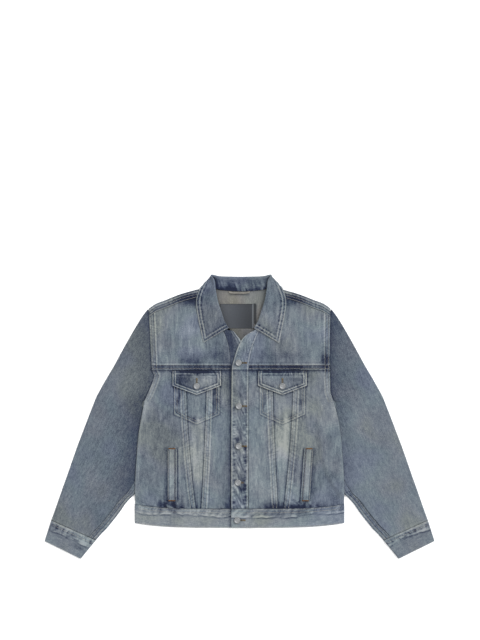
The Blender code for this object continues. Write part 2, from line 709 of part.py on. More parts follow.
def build_button(name, x, y, z, finish):
    """A shank button: a low rim round a shallow dish, turned from its profile."""
    scale = (BUTTON_RADIUS * MM, BUTTON_HEIGHT * MM)
    mesh = bpy.data.meshes.new(name)
    points = [(across * scale[0], 0, up * scale[1]) for across, up in BUTTON_PROFILE]
    mesh.from_pydata(points, [(k, k + 1) for k in range(len(points) - 1)], [])
    obj = add_object(name, mesh, finish)
    turn = obj.modifiers.new("turn", "SCREW")
    turn.steps = turn.render_steps = BUTTON_STEPS
    turn.use_merge_vertices = True
    turn.merge_threshold = 1e-5
    turn.use_smooth_shade = True
    obj.location = (x * MM, y * MM, z * MM)


def clear_scene():
    """Removes what is there, and adds the jacket's collection."""
    for obj in list(bpy.data.objects):
        bpy.data.objects.remove(obj, do_unlink=True)
    collection = bpy.data.collections.new("denim_jacket")
    bpy.context.scene.collection.children.link(collection)


def main():
    clear_scene()
    denim = material("denim", DENIM)
    pale = material("denim_pale", DENIM_PALE)
    nickel = material("nickel", NICKEL, 0.4, 1.0)

    build_back(denim)
    build_back_yoke(denim)
    build_waistband(pale)
    build_collar(denim)
    build_label(material("woven_label", LABEL_GREY))
    build_hanger_loop(material("cotton_tape", TAPE))

    half_gap = SEAM_GAP / 2
    for side, word in ((1, "left"), (-1, "right")):
        build_front_yoke(side, f"front_yoke_{word}", denim)
        build_front_panel(
            side,
            f"front_inner_{word}",
            lambda y: PANEL_START_X + 0 * y,
            lambda y: seam_x(INNER_SEAM_X, y) - half_gap,
            6,
            denim,
        )
        build_front_panel(
            side,
            f"front_center_{word}",
            lambda y: seam_x(INNER_SEAM_X, y) + half_gap,
            lambda y: seam_x(OUTER_SEAM_X, y) - half_gap,
            3,
            pale,
        )
        build_front_side(side, f"front_side_{word}", denim)
        build_pocket_bag(side, f"pocket_bag_{word}", pale)
        build_flap(side, f"pocket_flap_{word}", pale)
        build_welt(side, f"welt_{word}", pale)
        build_sleeve(side, f"top_sleeve_{word}", f"under_sleeve_{word}", denim)
        build_cuff(side, f"cuff_{word}", pale)
    build_placket(1, "placket_over", pale)
    build_placket(-1, "placket_under", pale)

    placket_top = UNDER_PLACKET_Z + LAP_RISE + PLY / 2 + LAYER_GAP
    band_top = BAND_FRONT_Z + BAND_LAP_RISE + BAND / 2 + LAYER_GAP
    flap_top = FRONT_Z + WALL / 2 + 2 * LAYER_GAP + BAND
    for number, (x, y) in enumerate(FRONT_BUTTONS, 1):
        z = band_top if y < WAIST_Y else placket_top
        build_button(f"front_button_{number}", x, y, z, nickel)
    build_button("flap_button_left", POCKET_X, FLAP_BUTTON_Y, flap_top, nickel)
    build_button("flap_button_right", -POCKET_X, FLAP_BUTTON_Y, flap_top, nickel)


main()
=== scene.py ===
"""The looks of a washed denim jacket that lies buttoned on its back.

Every cloth piece is a grid of points worked out as whole arrays: first its plan, then
its height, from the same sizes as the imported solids, then the relief that sewing and
washing leave in it. A wall is added by Solidify. X runs to the wearer's left, Y from the
hem to the collar and Z up. Sizes are in millimetres until a mesh is made.
"""

import math

import bpy
import numpy as np
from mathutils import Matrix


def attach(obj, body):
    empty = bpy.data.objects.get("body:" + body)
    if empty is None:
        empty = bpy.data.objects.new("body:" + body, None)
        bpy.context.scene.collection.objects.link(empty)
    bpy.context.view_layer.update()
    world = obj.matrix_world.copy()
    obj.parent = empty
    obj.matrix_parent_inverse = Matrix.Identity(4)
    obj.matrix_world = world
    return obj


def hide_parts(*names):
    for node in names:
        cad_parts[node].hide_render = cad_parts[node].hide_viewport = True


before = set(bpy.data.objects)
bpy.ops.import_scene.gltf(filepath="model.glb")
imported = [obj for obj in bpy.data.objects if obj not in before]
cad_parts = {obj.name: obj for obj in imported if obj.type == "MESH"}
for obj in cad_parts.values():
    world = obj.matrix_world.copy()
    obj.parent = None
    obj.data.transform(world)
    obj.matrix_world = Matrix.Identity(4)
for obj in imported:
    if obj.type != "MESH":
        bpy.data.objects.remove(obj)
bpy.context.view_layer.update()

MM = 0.001
TURN = 2 * math.pi
LATTICE = 97  # points along each side of a noise's table

# Cloth and its layers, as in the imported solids
WALL, PLY, BAND = 1.2, 1.8, 2.0
SEAM_GAP, LAYER_GAP = 0.3, 0.3
BACK_Z, FRONT_Z, SLEEVE_TOP_Z, UNDER_PLACKET_Z = 0.6, 3.6, 4.2, 3.8
BAND_BACK_Z, BAND_FRONT_Z, CUFF_TOP_Z = 1.0, 4.0, 4.6
LAP_RISE, BAND_LAP_RISE = 2.1, 2.3
FINE, COARSE = 1.85, 7.0  # how far apart the points of shown and hidden cloth are
YOKE_PITCH, SLEEVE_PITCH, BAND_PITCH = 4.2, 2.55, 1.6
LINE_PITCH = 2  # how far apart the points of a row of stitches' path are

# Body
ARMHOLE_END_Y = 37  # the armhole's lower end
SIDE_EDGE = {
    "y": (-223, -184, -135, -100, -59, -16, 10, 37, 58, 80, 102, 116, 269),
    "x": (261, 261.5, 259.5, 257, 254, 248, 243, 238.5, 229, 219.5, 213, 219.5, 227),
}
ARMHOLE_OUT = {  # how much further out the wearer's left armhole lies
    "y": (-14, 10, 37, 48, 62, 80, 102, 116, 140, 200, 269),
    "x": (0, -0.8, -3.3, -2.8, -0.5, 7, 13, 7, 5, 2, 0),
}
SHOULDER = {
    "x": (84, 104, 125, 146, 184, 215, 227),
    "y": (317, 317, 312, 306, 291, 278, 269),
}
SHOULDER_WRAP = 20
YOKE_Y, BACK_YOKE_Y, WAIST_Y, HEM_Y = 116, 110, -218.5, -266
YOKE_SIZE = (180, 200)  # about, up and across
HEM_SAG, SAG_FROM_Y, HALF_WAIST = 12, -60, 262
SIDE_RETURN, ARMHOLE_RETURN, NARROW_FROM_Y = 18, 6, 16
SLEEVE_UNDER = {
    "y": (-194, -170, -145, -100, -50, -10, 10, 24, 37),
    "width": (0, 16, 28, 42, 46, 40, 30, 16, 0),
}
SLEEVE_LIFT, SLEEVE_RAMP, SLEEVE_CLEAR = 5.1, 16, 4
SLEEVE_LIFT_LOW_Y, SLEEVE_LIFT_TOP_Y = (-210, -194), (38, 58)

# Neck and collar
NECK_SHIFT, NECK_SEAM_Y, NECK_HALF = 4, 317.5, 90
COLLAR_LIFT, COLLAR_LIFT_HALF, COLLAR_RAMP, COLLAR_LIFT_Y = 2.6, 104, 16, (270, 292)
FRONT_NECK_CORNER, FRONT_SHOULDER_X, FRONT_NECK_GAP = (87, 296), 97, 1.2
ROLL_RADIUS = 1.9
COLLAR_COUNT, LEAF_COUNT, TURN_COUNT, STAND_COUNT = 118, 54, 11, 16  # points
COLLAR_SECTIONS = (
    # roll x, y, z,    bearing, tilt, edge x, y, z,    neck x, y, z
    (33.5, 220.0, 8.2, -29, 90, 95.0, 183.0, 5.9, 33.0, 215.5, 4.8),
    (44.0, 238.0, 9.8, -20, 90, 101.0, 214.0, 5.9, 51.0, 233.0, 4.6),
    (52.0, 262.0, 11.0, -12, 88, 108.0, 248.0, 6.2, 66.0, 260.0, 4.8),
    (61.0, 290.0, 12.0, 0, 78, 112.5, 288.0, 8.6, 82.0, 291.0, 6.6),
    (66.0, 318.0, 12.0, 15, 55, 104.0, 318.0, 8.8, 86.0, 312.0, 7.0),
    (68.7, 340.8, 9.5, 31, 9, 96.0, 327.5, 3.0, 78.0, 320.5, 5.8),
    (73.8, 352.0, 5.0, 53, -20, 88.0, 331.5, 0.95, 66.0, 320.0, 5.2),
    (54.0, 348.0, 3.0, 90, -90, 57.0, 304.0, 0.95, 52.0, 316.0, 5.0),
    (27.0, 347.0, 2.9, 90, -90, 28.0, 303.0, 0.95, 26.0, 313.5, 5.0),
    (0.0, 346.5, 2.9, 90, -90, 0.0, 303.0, 0.95, 0.0, 312.5, 5.0),
)

# Front opening, panels and pockets
PLACKET_ROWS = (
    # free edge x, y,   seam x, y
    (-21, WAIST_Y, 21.0, WAIST_Y),
    (-21, -140, 21.2, -140),
    (-21, -60, 21.4, -60),
    (-20.5, 30, 21.6, 30),
    (-19.5, 116, 22.0, 116),
    (-15.5, 141, 23.5, 138),
    (-9.5, 165, 26.5, 160),
    (-1.5, 186, 32.0, 182),
    (8.5, 200, 40.0, 204),
    (20.5, 208.5, 49.5, 222),
    (32.8, 211.0, 59.5, 238.0),
)
PLACKET_SHIFT_Y, PLACKET_YOKE_ROW, UNDER_PLACKET_LONGER = (116, 210), 4, 5
PLACKET_HALF, PLACKET_LENGTH, PLACKET_PITCH = 21, 470, {-1: 2, 1: 1.35}
LAP_FROM_X, LAP_FULL_X = 45, 25
PANEL_START_X = 22.1
SEAM_Y = (-230, -134, -34, 116)
INNER_SEAM_X = (97, 91, 86, 81)
OUTER_SEAM_X = (108, 120, 129, 135)
PANELS = {  # the seams at both edges of each plain panel
    "front_inner": ((PANEL_START_X - SEAM_GAP / 2,) * len(SEAM_Y), INNER_SEAM_X),
    "front_center": (INNER_SEAM_X, OUTER_SEAM_X),
}
POCKET_X, POCKET_HALF, POCKET_TOP_Y = 107, 60.5, 114
POCKET_RUN = 75  # a length between the flap's and the bag's
FLAP_CORNER_Y, FLAP_TIP_Y, BAG_CORNER_Y, BAG_TIP_Y = 77, 54, 5, -20
BAG_WALL, BAG_INSET = 1.0, 1
FLAP_PUFF, FLAP_PITCH, WELT_PITCH = 0.6, 1.3, 1.15
WELT_LEAN = {-1: 0.0, 1: 0.075}  # how far each side pocket leans out towards its top
WELT_X, WELT_Y, WELT_WALL = (157, 180), (-200, -80.5), 1.6

# Sleeves and cuffs
SLEEVE_ROWS = (
    # outer x, y,  inner y
    (230, 267.5, 262),
    (247, 244, 235),
    (268, 209, 195),
    (290, 170, 155),
    (310, 133, 116),
    (318, 119, 102),
    (330, 99, 80),
    (342, 78, 58),
    (353, 58, 37),
    (359, 46, 24),
    (366, 28, 10),
    (374, 8, -10),
    (390, -34, -50),
    (407, -79, -100),
    (422, -122, -145),
    (431, -148, -170),
    (440, -173, -194),
    (446, -190, -219),
    (452, -207, -249),
    (460, -230, -279),
    (470.5, -259, -309),
)
SLEEVE_INNER = {
    "y": (-309, -294, -279, -264, -249, -234, -219, -204, -194),
    "x": (359, 346, 331, 319, 307, 296, 286, 273, 261.5),
}
TOP_SLEEVE_RETURN, TOP_SLEEVE_SHARE = 25, 0.6
UNDERARM_RETURN, UNDERARM_START = 20, 3
ARMHOLE_GAP = 0.4
CUFF_CORNERS = ((470.8, -259.6), (359.2, -309.6), (397, -355.5), (487, -311))
CUFF_DEPTH, CUFF_WIDTH, CUFF_PITCH = 52, 122, (1.7, 1.8)
SLEEVE_CREASES = (
    # x, y,      x, y,    half width, height
    (330, -40, 395, -20, 16, 1.0),
    (300, -110, 400, -95, 14, 1.1),
    (318, -175, 415, -140, 13, 1.0),
    (345, -230, 430, -200, 12, 0.8),
    (265, 120, 300, 20, 18, 0.9),
)
SLEEVE_DOME = 2.6  # the top sleeve stands this much higher along its middle
SLEEVE_BEARING = 66  # its warp lies this many degrees down from X
SLEEVE_WIDTH = 170  # about its width where it is widest
SLEEVE_COUNT = 206  # sections across it

# Trims
BUTTON_RADIUS, BUTTON_HEIGHT = 7.8, 4.2
BUTTON_PROFILE = (
    # shares of the radius and of the height, from the middle of the dish to the shank
    (0, 0.80),
    (0.25, 0.78),
    (0.55, 0.80),
    (0.68, 0.90),
    (0.80, 1.0),
    (0.93, 0.94),
    (1.0, 0.72),
    (0.93, 0.50),
    (0.6, 0.40),
    (0.42, 0.30),
    (0.40, 0.0),
    (0, 0),
)
FRONT_BUTTONS = ((-2.5, 134), (-2, 26), (-2.5, -74), (-4, -165), (-6, -259))
FLAP_BUTTON_Y = 76
LABEL = {"x": (-49, 35), "y": (220, 281), "wall": 1.0}
LOOP = {"x": (-28, 26), "y": 308.6, "width": 4.5, "wall": 1.0, "arch": 1.6}

# Sewing
FELL = 15  # width of a felled seam's band
FELL_RISE = 1.0
DASH = 9.0  # spacing of the pinched strokes across a seam
STITCH_ROWS = (4.0, 12.5)  # distances of the two rows from a felled seam's edge
STITCH, STITCH_PITCH, THREAD = 2.5, 3.4, 0.42  # length, spacing and radius
THREAD_SINK = 0.12  # height of a thread's middle above the cloth
POCKET_ROWS, SHOULDER_ROWS = (1.6, 7.6), (2.0, 9.0, 15.5)
COLLAR_ROWS, COLLAR_SHOWN_Z = (1.8, 9.0), 6.2
HOLE_LENGTH, HOLE_WIDTH, HOLE_STITCHES = 15, 4.6, 52
BAR_LENGTH, BAR_WIDTH, BAR_STITCHES = 16, 3.6, 22
CLOSE_THREAD = 0.5  # radius of the buttonholes' and bars' thread
PUCKER = 8.0  # length of the waves that shrunk seams leave
POCKET_TUCK = 3.5  # the pocket's outline is this much narrower than its flap

# What washing did to each kind of felled seam. The fades are of the groove at its foot, of
# the band's middle, of its worn edges, and of the puckers across it.
SEAMS = {
    # kind: groove, middle, edges, puckers
    "yoke": (0.50, -0.32, 0.28, 0.16),
    "panel": (0.34, 0.05, 0.24, 0.12),
    "armhole": (0.50, -0.10, 0.28, 0.14),
    "shoulder": (0.40, -0.22, 0.24, 0.16),
    "underarm": (0.40, -0.08, 0.26, 0.12),
}

V_WORN, V_WORN_Y, V_WORN_HALF = 0.20, {-1: -108, 1: -66}, 70  # the V panels are palest here
FOLD_WORN = {-1: 0.22, 1: 0.12}  # how much paler the body's side folds are

# How faded each kind of piece is: 0 is unwashed indigo, 1 nearly white
FADE = {
    "yoke": 0.63,
    "inner": 0.64,
    "v_panel": 0.63,
    "side": 0.59,
    "placket": 0.69,
    "flap": 0.57,
    "bag": 0.55,
    "welt": 0.70,
    "band": 0.76,
    "collar": 0.53,
    "sleeve": 0.55,
    "cuff": 0.62,
    "back": 0.52,
}
# Soft places that are more or less faded than the piece they are on; some of them carry painted light
# and shade, as marked below
SPOTS = (
    # x, y,     half sizes, turn, change
    (-120, 200, 24, 48, 0, 0.10),
    (-128, 137, 22, 9, 0, -0.26),
    (-45, 172, 20, 40, 20, -0.12),
    (-160, 235, 40, 30, 0, 0.05),
    (214, 142, 11, 18, 0, -0.75),
    (98, 126, 52, 7, 0, -0.20),
    (120, 215, 60, 40, 0, 0.04),
    (-92, 112, 34, 9, 0, -0.26),
    (-143, 93, 24, 24, 0, -0.34),
    (92, 111, 48, 9, 0, -0.26),
    (142, 93, 14, 6, 0, -0.24),
    # painted shade on both shoulders beside the collar, over indigo that is kept there too
    (-124, 294, 30, 17, 0, -0.68),
    (134, 292, 26, 16, 0, -0.60),
    (120, -221, 46, 12, 0, -0.62),
    (84, -213, 22, 13, 0, -0.52),
    (150, -216, 34, 6, 0, -0.30),
    (190, -140, 60, 70, 0, -0.05),
    (-28, -212, 12, 10, 0, -0.26),
    (110, 5, 20, 36, 0, 0.13),
    (-90, 150, 75, 13, 0, -0.15),
    (110, 150, 75, 13, 0, -0.17),
    (-108, -110, 26, 90, 0, 0.06),
    (112, -90, 30, 90, 0, 0.08),
    # painted light on the body's side that faces the key light
    (200, 20, 60, 110, 0, 0.05),
    (-200, -60, 50, 90, 0, -0.02),
    (60, -80, 30, 110, 0, 0.04),
    (-5, -58, 6, 7, 0, -0.42),
    (8, -173, 7, 6, 0, -0.42),
    (139, 121.5, 17, 4.5, 0, -0.9),
    (-112, 118, 22, 8, 0, -0.20),
    (-104, 134, 12, 9, 0, -0.20),
    (-84, 90, 26, 16, 0, 0.20),
    (-156, -226, 28, 4, 0, -0.60),
    (-195, -214, 10, 7, -30, -0.45),
    (-165, -212, 14, 5, -15, -0.50),
    (-177, -219, 20, 3, -8, 0.30),
    (-152, 46, 4.5, 16, -15, -0.45),
    (-143, 44, 4, 16, -15, 0.25),
    (-58, 46, 6, 20, 0, -0.40),
    (-66, 40, 3, 34, 0, -0.30),
    (-74, 40, 3, 36, 0, 0.20),
    (152, 38, 7, 12, 20, -0.25),
    (164, 20, 5, 16, 30, 0.25),
    (60, 28, 5, 14, -20, -0.24),
    (68, 34, 4, 14, -20, 0.22),
    (112, -50, 36, 60, 0, 0.03),
    (-116, -9, 9, 9, -30, -0.24),
    (-405, -327, 18, 6, -24, -0.24),
)
# Soft places whose dye is a warmer grey, or where the change is negative a bluer one
WARM = (
    # x, y,     half sizes, turn, change
    (0, -256, 400, 20, 0, 0.14),
    (430, -312, 60, 52, 0, 0.24),
    (-430, -312, 60, 52, 0, 0.24),
    (115, 225, 50, 50, 0, 0.16),
    (-110, 150, 80, 28, 0, -0.25),
    (120, 140, 80, 20, 0, -0.12),
    (-185, 60, 40, 60, 0, -0.18),
    (190, 40, 50, 60, 0, 0.14),
    (-50, -60, 25, 110, 0, -0.12),
    (112, -20, 40, 55, 0, 0.26),
    (-105, -110, 30, 60, 0, 0.12),
    (2, -70, 18, 50, 0, 0.14),
    (2, 90, 18, 50, 0, -0.10),
    (-262, 180, 50, 90, 0, 0.24),
    (0, 345, 70, 22, 0, -0.26),
    (110, 60, 55, 40, 0, 0.12),
    (-130, 290, 40, 20, 0, 0.10),
)
# Where the cloth is folded at the waist seam, and how strongly
WAIST_FOLDS = (
    # x, half width, strength
    (-174, 28, 2.0),
    (-126, 18, 0.4),
    (-28, 12, 0.7),
    (112, 40, 1.4),
    (160, 30, 1.1),
)

# The cut of each piece that shows: width and length in mm, area in cm2, what it lies on
CUTS = {
    "back": (490, 345, 1600, "floor"),
    "back_yoke": (456, 235, 935, "floor"),
    "collar": (460, 95, 325, ("back_yoke", "front_yoke_left", "front_yoke_right")),
    "cuff": (250, 54, 124, "floor"),
    "front_center": (55, 335, 130, "back"),
    "front_inner": (78, 335, 228, "back"),
    "front_side": (175, 335, 465, ("back", "top_sleeve")),
    "front_yoke": (205, 185, 300, "back_yoke"),
    "placket_over": (60, 480, 182, "placket_under"),
    "placket_under": (60, 480, 182, "back"),
    "pocket_bag": (121, 134, 146, "back"),
    "pocket_flap": (123, 62, 60, ("front_inner", "front_side")),
    "top_sleeve": (200, 600, 815, "under_sleeve"),
    "under_sleeve": (185, 600, 690, "floor"),
    "waistband_back": (490, 50, 232, "floor"),
    "waistband_front": (305, 50, 143, "waistband_back"),
    "welt": (23, 131, 30, "front_side"),
    "neck_label": (82, 62, 50, "back_yoke"),
    "hanger_loop": (46, 10, 2.6, "back_yoke"),
}

# Light, view
SKY = 0.9
SUNS = (
    # name, where it stands round the jacket from +X, height above it, strength, width
    ("key", 40, 48, 2.6, 35),
    ("fill", 200, 60, 0.7, 60),
)
CAMERA = (0.001, 0.241, 3.78)
NODES = tuple(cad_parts)


def step(low, high, value):
    """0 below low, 1 above high, and an even S between them."""
    t = np.clip((np.asarray(value, float) - low) / (high - low), 0, 1)
    return t * t * (3 - 2 * t)


def bell(value, half):
    """1 at value 0, falling off to both sides as a Gaussian of that half width."""
    return np.exp(-((value / half) ** 2))


def noise(x, y, size, seed):
    """-1 to 1: random heights on a lattice of the given cell size, blended by S curves."""
    table = np.random.default_rng(seed).uniform(-1, 1, (LATTICE, LATTICE))
    gx, gy = np.asarray(x, float) / size[0] + 500, np.asarray(y, float) / size[1] + 500
    ix, iy = np.floor(gx).astype(int), np.floor(gy).astype(int)
    tx, ty = step(0, 1, gx - ix), step(0, 1, gy - iy)
    a, b = table[ix % LATTICE, iy % LATTICE], table[(ix + 1) % LATTICE, iy % LATTICE]
    c, d = table[ix % LATTICE, (iy + 1) % LATTICE], table[(ix + 1) % LATTICE, (iy + 1) % LATTICE]
    return (a * (1 - tx) + b * tx) * (1 - ty) + (c * (1 - tx) + d * tx) * ty


def ripples(along, across, length, seed):
    """Uneven waves, about -1 to 1: a sine whose phase and height wander, and loose ridges."""
    wander = noise(along, across, (3.3 * length, 26), seed)
    height = 0.45 + 0.55 * noise(along, across, (1.9 * length, 30), seed + 1)
    ridges = noise(along, across, (0.42 * length, 17), seed + 2)
    return 0.75 * height * np.sin(TURN * along / length + 6 * wander) + 0.6 * ridges


def crumples(x, y, size, seed):
    """(soft ridges from -1 to 1, 0 to 1 along thin veins between them): crumpled cloth.

    Both come from a bent noise: the veins run where it passes through zero."""
    bent = x + 0.5 * size[0] * noise(x, y, size, seed + 1)
    lean = y + 0.6 * size[1] * noise(x, y, size, seed + 2)
    height = noise(bent, lean, size, seed)
    strong = 0.55 + 0.45 * noise(x, y, (2 * size[0], 2 * size[1]), seed + 3)
    return height, bell(height, 0.17) * strong


def cos_sin(degrees):
    """The cosine and sine of an angle in degrees."""
    return math.cos(math.radians(degrees)), math.sin(math.radians(degrees))


def streaks(x, y, turn, size, seed):
    """-1 to 1: a noise whose cells are long and lie along the given angle from +X."""
    c, s = cos_sin(turn)
    return noise(x * s - y * c, x * c + y * s, size, seed)


def marks(d, *rows):
    """Soft parallel lines at distance d, from rows of place, half width and strength."""
    return sum(strength * bell(d - place, half) for place, half, strength in rows)


def cubic(t, start, end, leave, arrive):
    """From start to end as t goes from 0 to 1, with the slopes leave and arrive."""
    first = (2 * t**3 - 3 * t**2 + 1) * start + (t**3 - 2 * t**2 + t) * leave
    return first + (3 * t**2 - 2 * t**3) * end + (t**3 - t**2) * arrive


def curve(at, xs, ys):
    """A smooth line through a table's points, made of cubics with the neighbours' slopes."""
    xs, ys = np.asarray(xs, float), np.asarray(ys, float)
    at = np.clip(at, xs[0], xs[-1])
    slope = np.gradient(ys, xs)
    k = np.clip(np.searchsorted(xs, at) - 1, 0, len(xs) - 2)
    width = xs[k + 1] - xs[k]
    return cubic((at - xs[k]) / width, ys[k], ys[k + 1], width * slope[k], width * slope[k + 1])


def rows_at(table, at):
    """A table's rows at fractional row numbers, along smooth curves."""
    table = np.asarray(table, float)
    number = np.arange(len(table))
    return np.stack([curve(at, number, column) for column in table.T], axis=-1)


def run_along(path):
    """Distance along a line of points from its first one."""
    return np.append(0, np.cumsum(np.linalg.norm(np.diff(path, axis=0), axis=1)))


def points_at(path, run, distances):
    """Points at the given distances along a line of straight stretches."""
    return np.stack([np.interp(distances, run, column) for column in path.T], axis=1)


def resample(path, count):
    """count points evenly along a line of straight stretches."""
    path = np.asarray(path, float)
    run = run_along(path)
    return points_at(path, run, np.linspace(0, run[-1], count))


def spline(points, count):
    """count points evenly along a smooth curve through the points."""
    return resample(rows_at(points, np.linspace(0, len(points) - 1, 12 * len(points))), count)


def spaced(start, end, pitch):
    """Even steps from start to end, about as long as the pitch."""
    return np.linspace(start, end, max(2, round(abs(end - start) / pitch) + 1))


def side_x(y, side=-1):
    """The body's half width: a smooth side fold, and above it the armhole seam."""
    fold = curve(y, SIDE_EDGE["y"][:8], SIDE_EDGE["x"][:8])
    seam = np.interp(y, SIDE_EDGE["y"], SIDE_EDGE["x"])
    out = (np.asarray(side) > 0) * np.interp(y, ARMHOLE_OUT["y"], ARMHOLE_OUT["x"])
    return np.where(np.asarray(y) <= ARMHOLE_END_Y, fold, seam) + out


def side_return(y):
    """How far the front wraps under the body's side."""
    return np.interp(y, (NARROW_FROM_Y, ARMHOLE_END_Y), (SIDE_RETURN, ARMHOLE_RETURN))


def hem_drop(x):
    """How far the waistband lies below its ends: most at the centre."""
    return -HEM_SAG * (1 - (np.abs(x) / HALF_WAIST) ** 4)


def sag(x, y):
    """The body's share of the hem's drop, growing down to the waist."""
    return hem_drop(x) * step(-SAG_FROM_Y, -WAIST_Y, -y)


def ramp_start(y):
    """X at which the body starts to rise over the edge of the sleeve."""
    width = np.interp(y, SLEEVE_UNDER["y"], SLEEVE_UNDER["width"])
    return side_x(y) - width - SLEEVE_CLEAR - SLEEVE_RAMP


def lift(x, y):
    """How far the body is lifted, by the sleeve under it or by the collar's leaf."""
    fade_from, fade_to = SLEEVE_LIFT_TOP_Y
    along = step(*SLEEVE_LIFT_LOW_Y, y) * step(-fade_to, -fade_from, -y)
    sleeve = SLEEVE_LIFT * along * step(0, SLEEVE_RAMP, np.abs(x) - ramp_start(y))
    across = step(0, COLLAR_RAMP, COLLAR_LIFT_HALF + COLLAR_RAMP - np.abs(x - NECK_SHIFT))
    return sleeve + COLLAR_LIFT * step(*COLLAR_LIFT_Y, y) * across


def lap(x):
    """1 where the left front lies on the right placket, 0 away from it."""
    return step(-LAP_FROM_X, -LAP_FULL_X, -x)


def front_z(x, y, side):
    """Height of a front's middle surface, without its relief."""
    return FRONT_Z + lift(x, y) + (LAP_RISE * lap(x) if side > 0 else 0)


def seam_x(seam, y):
    """X of a front seam, given by its table, at height y."""
    return curve(y, SEAM_Y, seam)


def half_turn(z_from, z_to, count=7):
    """(outward, z) round a half turn from its upper to its lower side, as a last axis."""
    angle = np.linspace(math.pi / 2, -math.pi / 2, count)
    radius = np.asarray(z_from - z_to)[..., None] / 2
    low = np.asarray(z_to)[..., None]
    return radius * np.cos(angle), low + radius * (1 + np.sin(angle))


def hermite(start, end, out, into, count):
    """A curve that leaves start along out and reaches end along into, as a new axis."""
    length = np.linalg.norm(end - start, axis=-1, keepdims=True)
    out = out / np.linalg.norm(out, axis=-1, keepdims=True) * length
    into = into / np.linalg.norm(into, axis=-1, keepdims=True) * length
    ends = (place[..., None, :] for place in (start, end, out, into))
    return cubic(np.linspace(0, 1, count)[:, None], *ends)


def patch(bottom, top, left, right):
    """A grid between four edges: each point is blended from the edges across from it."""
    b, t, a, c = bottom[None], top[None], left[:, None], right[:, None]
    u = np.linspace(0, 1, len(bottom))[None, :, None]
    v = np.linspace(0, 1, len(left))[:, None, None]
    corners = (1 - u) * (1 - v) * b[:, :1] + u * (1 - v) * b[:, -1:]
    corners = corners + (1 - u) * v * t[:, :1] + u * v * t[:, -1:]
    return (1 - v) * b + v * t + (1 - u) * a + u * c - corners


def inside(x, y, corners):
    """Distance from a convex outline's nearest side, positive inside it."""
    corners = np.asarray(corners, float)
    nearest = np.full(np.shape(x), np.inf)
    for (x0, y0), (x1, y1) in zip(corners, np.roll(corners, -1, axis=0)):
        length = math.hypot(x1 - x0, y1 - y0)
        nearest = np.minimum(nearest, ((x1 - x0) * (y - y0) - (y1 - y0) * (x - x0)) / length)
    return nearest


def pentagon(side, corner_y, tip_y, inset=0):
    """A pocket's corners, counterclockwise: a straight top and a pointed lower edge."""
    half, x = POCKET_HALF - inset, side * POCKET_X
    low = [(x - half, corner_y), (x, tip_y), (x + half, corner_y)]
    return low + [(x + half, POCKET_TOP_Y), (x - half, POCKET_TOP_Y)]


# Relief and fading. Each field gives (rise in mm, fade) for places on the cloth; in places the fade also
# carries painted light and shade.


def spots(x, y, table=SPOTS):
    """The sum of the soft places' changes, each a bell over a turned ellipse."""
    total = np.zeros(np.shape(x))
    for x0, y0, half_x, half_y, turn, change in table:
        c, s = cos_sin(turn)
        u, v = (x - x0) * c + (y - y0) * s, (y - y0) * c - (x - x0) * s
        total += change * np.exp(-((u / half_x) ** 2) - (v / half_y) ** 2)
    return total


def dashes(along, across, seed):
    """0 to 1: short uneven strokes across a seam, where the cloth is pinched between stitches."""
    phase = TURN * (along + 0.5 * across) / DASH + 7 * noise(along, across, (15, 30), seed)
    return step(0.1, 0.8, np.sin(phase)) * (0.55 + 0.45 * noise(along, across, (23, 40), seed + 1))


def felled(d, along, seed, kind):
    """A felled seam: a band stands up on its side d > 0, and both sides are puckered.

    The band's edges and the crests of the waves are worn pale. The groove at its foot
    and the troughs keep their indigo."""
    groove, middle, edges, pucker = SEAMS[kind]
    band = (d >= 0) * (1 - step(FELL - 0.5, FELL + 1.5, d))
    wave = ripples(along + 0.35 * d, d, PUCKER, seed) * bell(d - 7, 13)
    rise = FELL_RISE * band + 0.45 * wave - marks(d, *[(row, 1.4, 0.25) for row in STITCH_ROWS])
    pinch = dashes(along, d, seed + 7)
    worn = marks(d, (1.4, 1.4, 0.9), (7.5, 1.4, 0.5), (FELL - 0.8, 1.7, 1)) * (1.15 - 0.6 * pinch)
    dark = marks(d, (STITCH_ROWS[0], 1.2, 0.75), (10.8, 1.3, 0.675), (FELL + 2.6, 1.5, 0.45))
    fade = middle * step(0, 2.5, d) * (1 - step(FELL - 3.5, FELL - 0.5, d))
    fade = fade + edges * (worn - dark) - groove * marks(d, (-1.1, 1.3, 1), (-4, 3, 0.30))
    return rise, fade - 0.16 * pinch * bell(d - 8, 9) + pucker * wave


def billow(x, y, seed):
    """Broad unevenness of cloth that was smoothed out by hand."""
    broad = 0.55 * noise(x, y, (70, 95), seed) + 0.22 * noise(x, y, (26, 40), seed + 1)
    return broad + 0.8


def cloudy(x, y, seed):
    """Uneven fading of flat cloth: soft blotches and fine streaks, longer along the warp."""
    broad = 0.06 * noise(x, y, (15, 24), seed) + 0.08 * noise(x, y, (34, 60), seed + 1)
    return broad + 0.08 * noise(x, y, (4.2, 18), seed + 2) + 0.03 * noise(x, y, (7, 10), seed + 3)


def pocket_field(x, y, side):
    """The bag and its stitching press through the front, under the flap, with a painted shadow along the
    flap's edge.
    """
    bag = inside(x, y, pentagon(side, BAG_CORNER_Y, BAG_TIP_Y, POCKET_TUCK))
    flap_edge = inside(x, y, pentagon(side, FLAP_CORNER_Y, FLAP_TIP_Y))
    ridge, vein = crumples(x + 0.6 * y, y, (9, 15), 33)
    wave = ripples(x * 0.8 + y, bag, 9, 31) * bell(bag, 11) + 0.7 * ridge * bell(bag - 6, 8)
    line = 0.16 * bell(bag - 2.2, 1.8) - 0.42 * bell(bag + 1, 1.4) * (0.75 + 0.5 * wave)
    line = line - 0.14 * dashes(x + y, bag, 37) * bell(bag - 5, 5)
    line = line + (0.16 * ridge - 0.34 * vein) * bell(bag - 8, 7)
    # the last term is the flap's painted shadow on the front, just outside its edge
    fade = line + 0.18 * wave - 0.30 * bell(flap_edge + 1.5, 3)
    return (y < YOKE_Y) * (0.5 * step(-1.5, 1.5, bag) + 0.5 * wave), (y < YOKE_Y) * fade


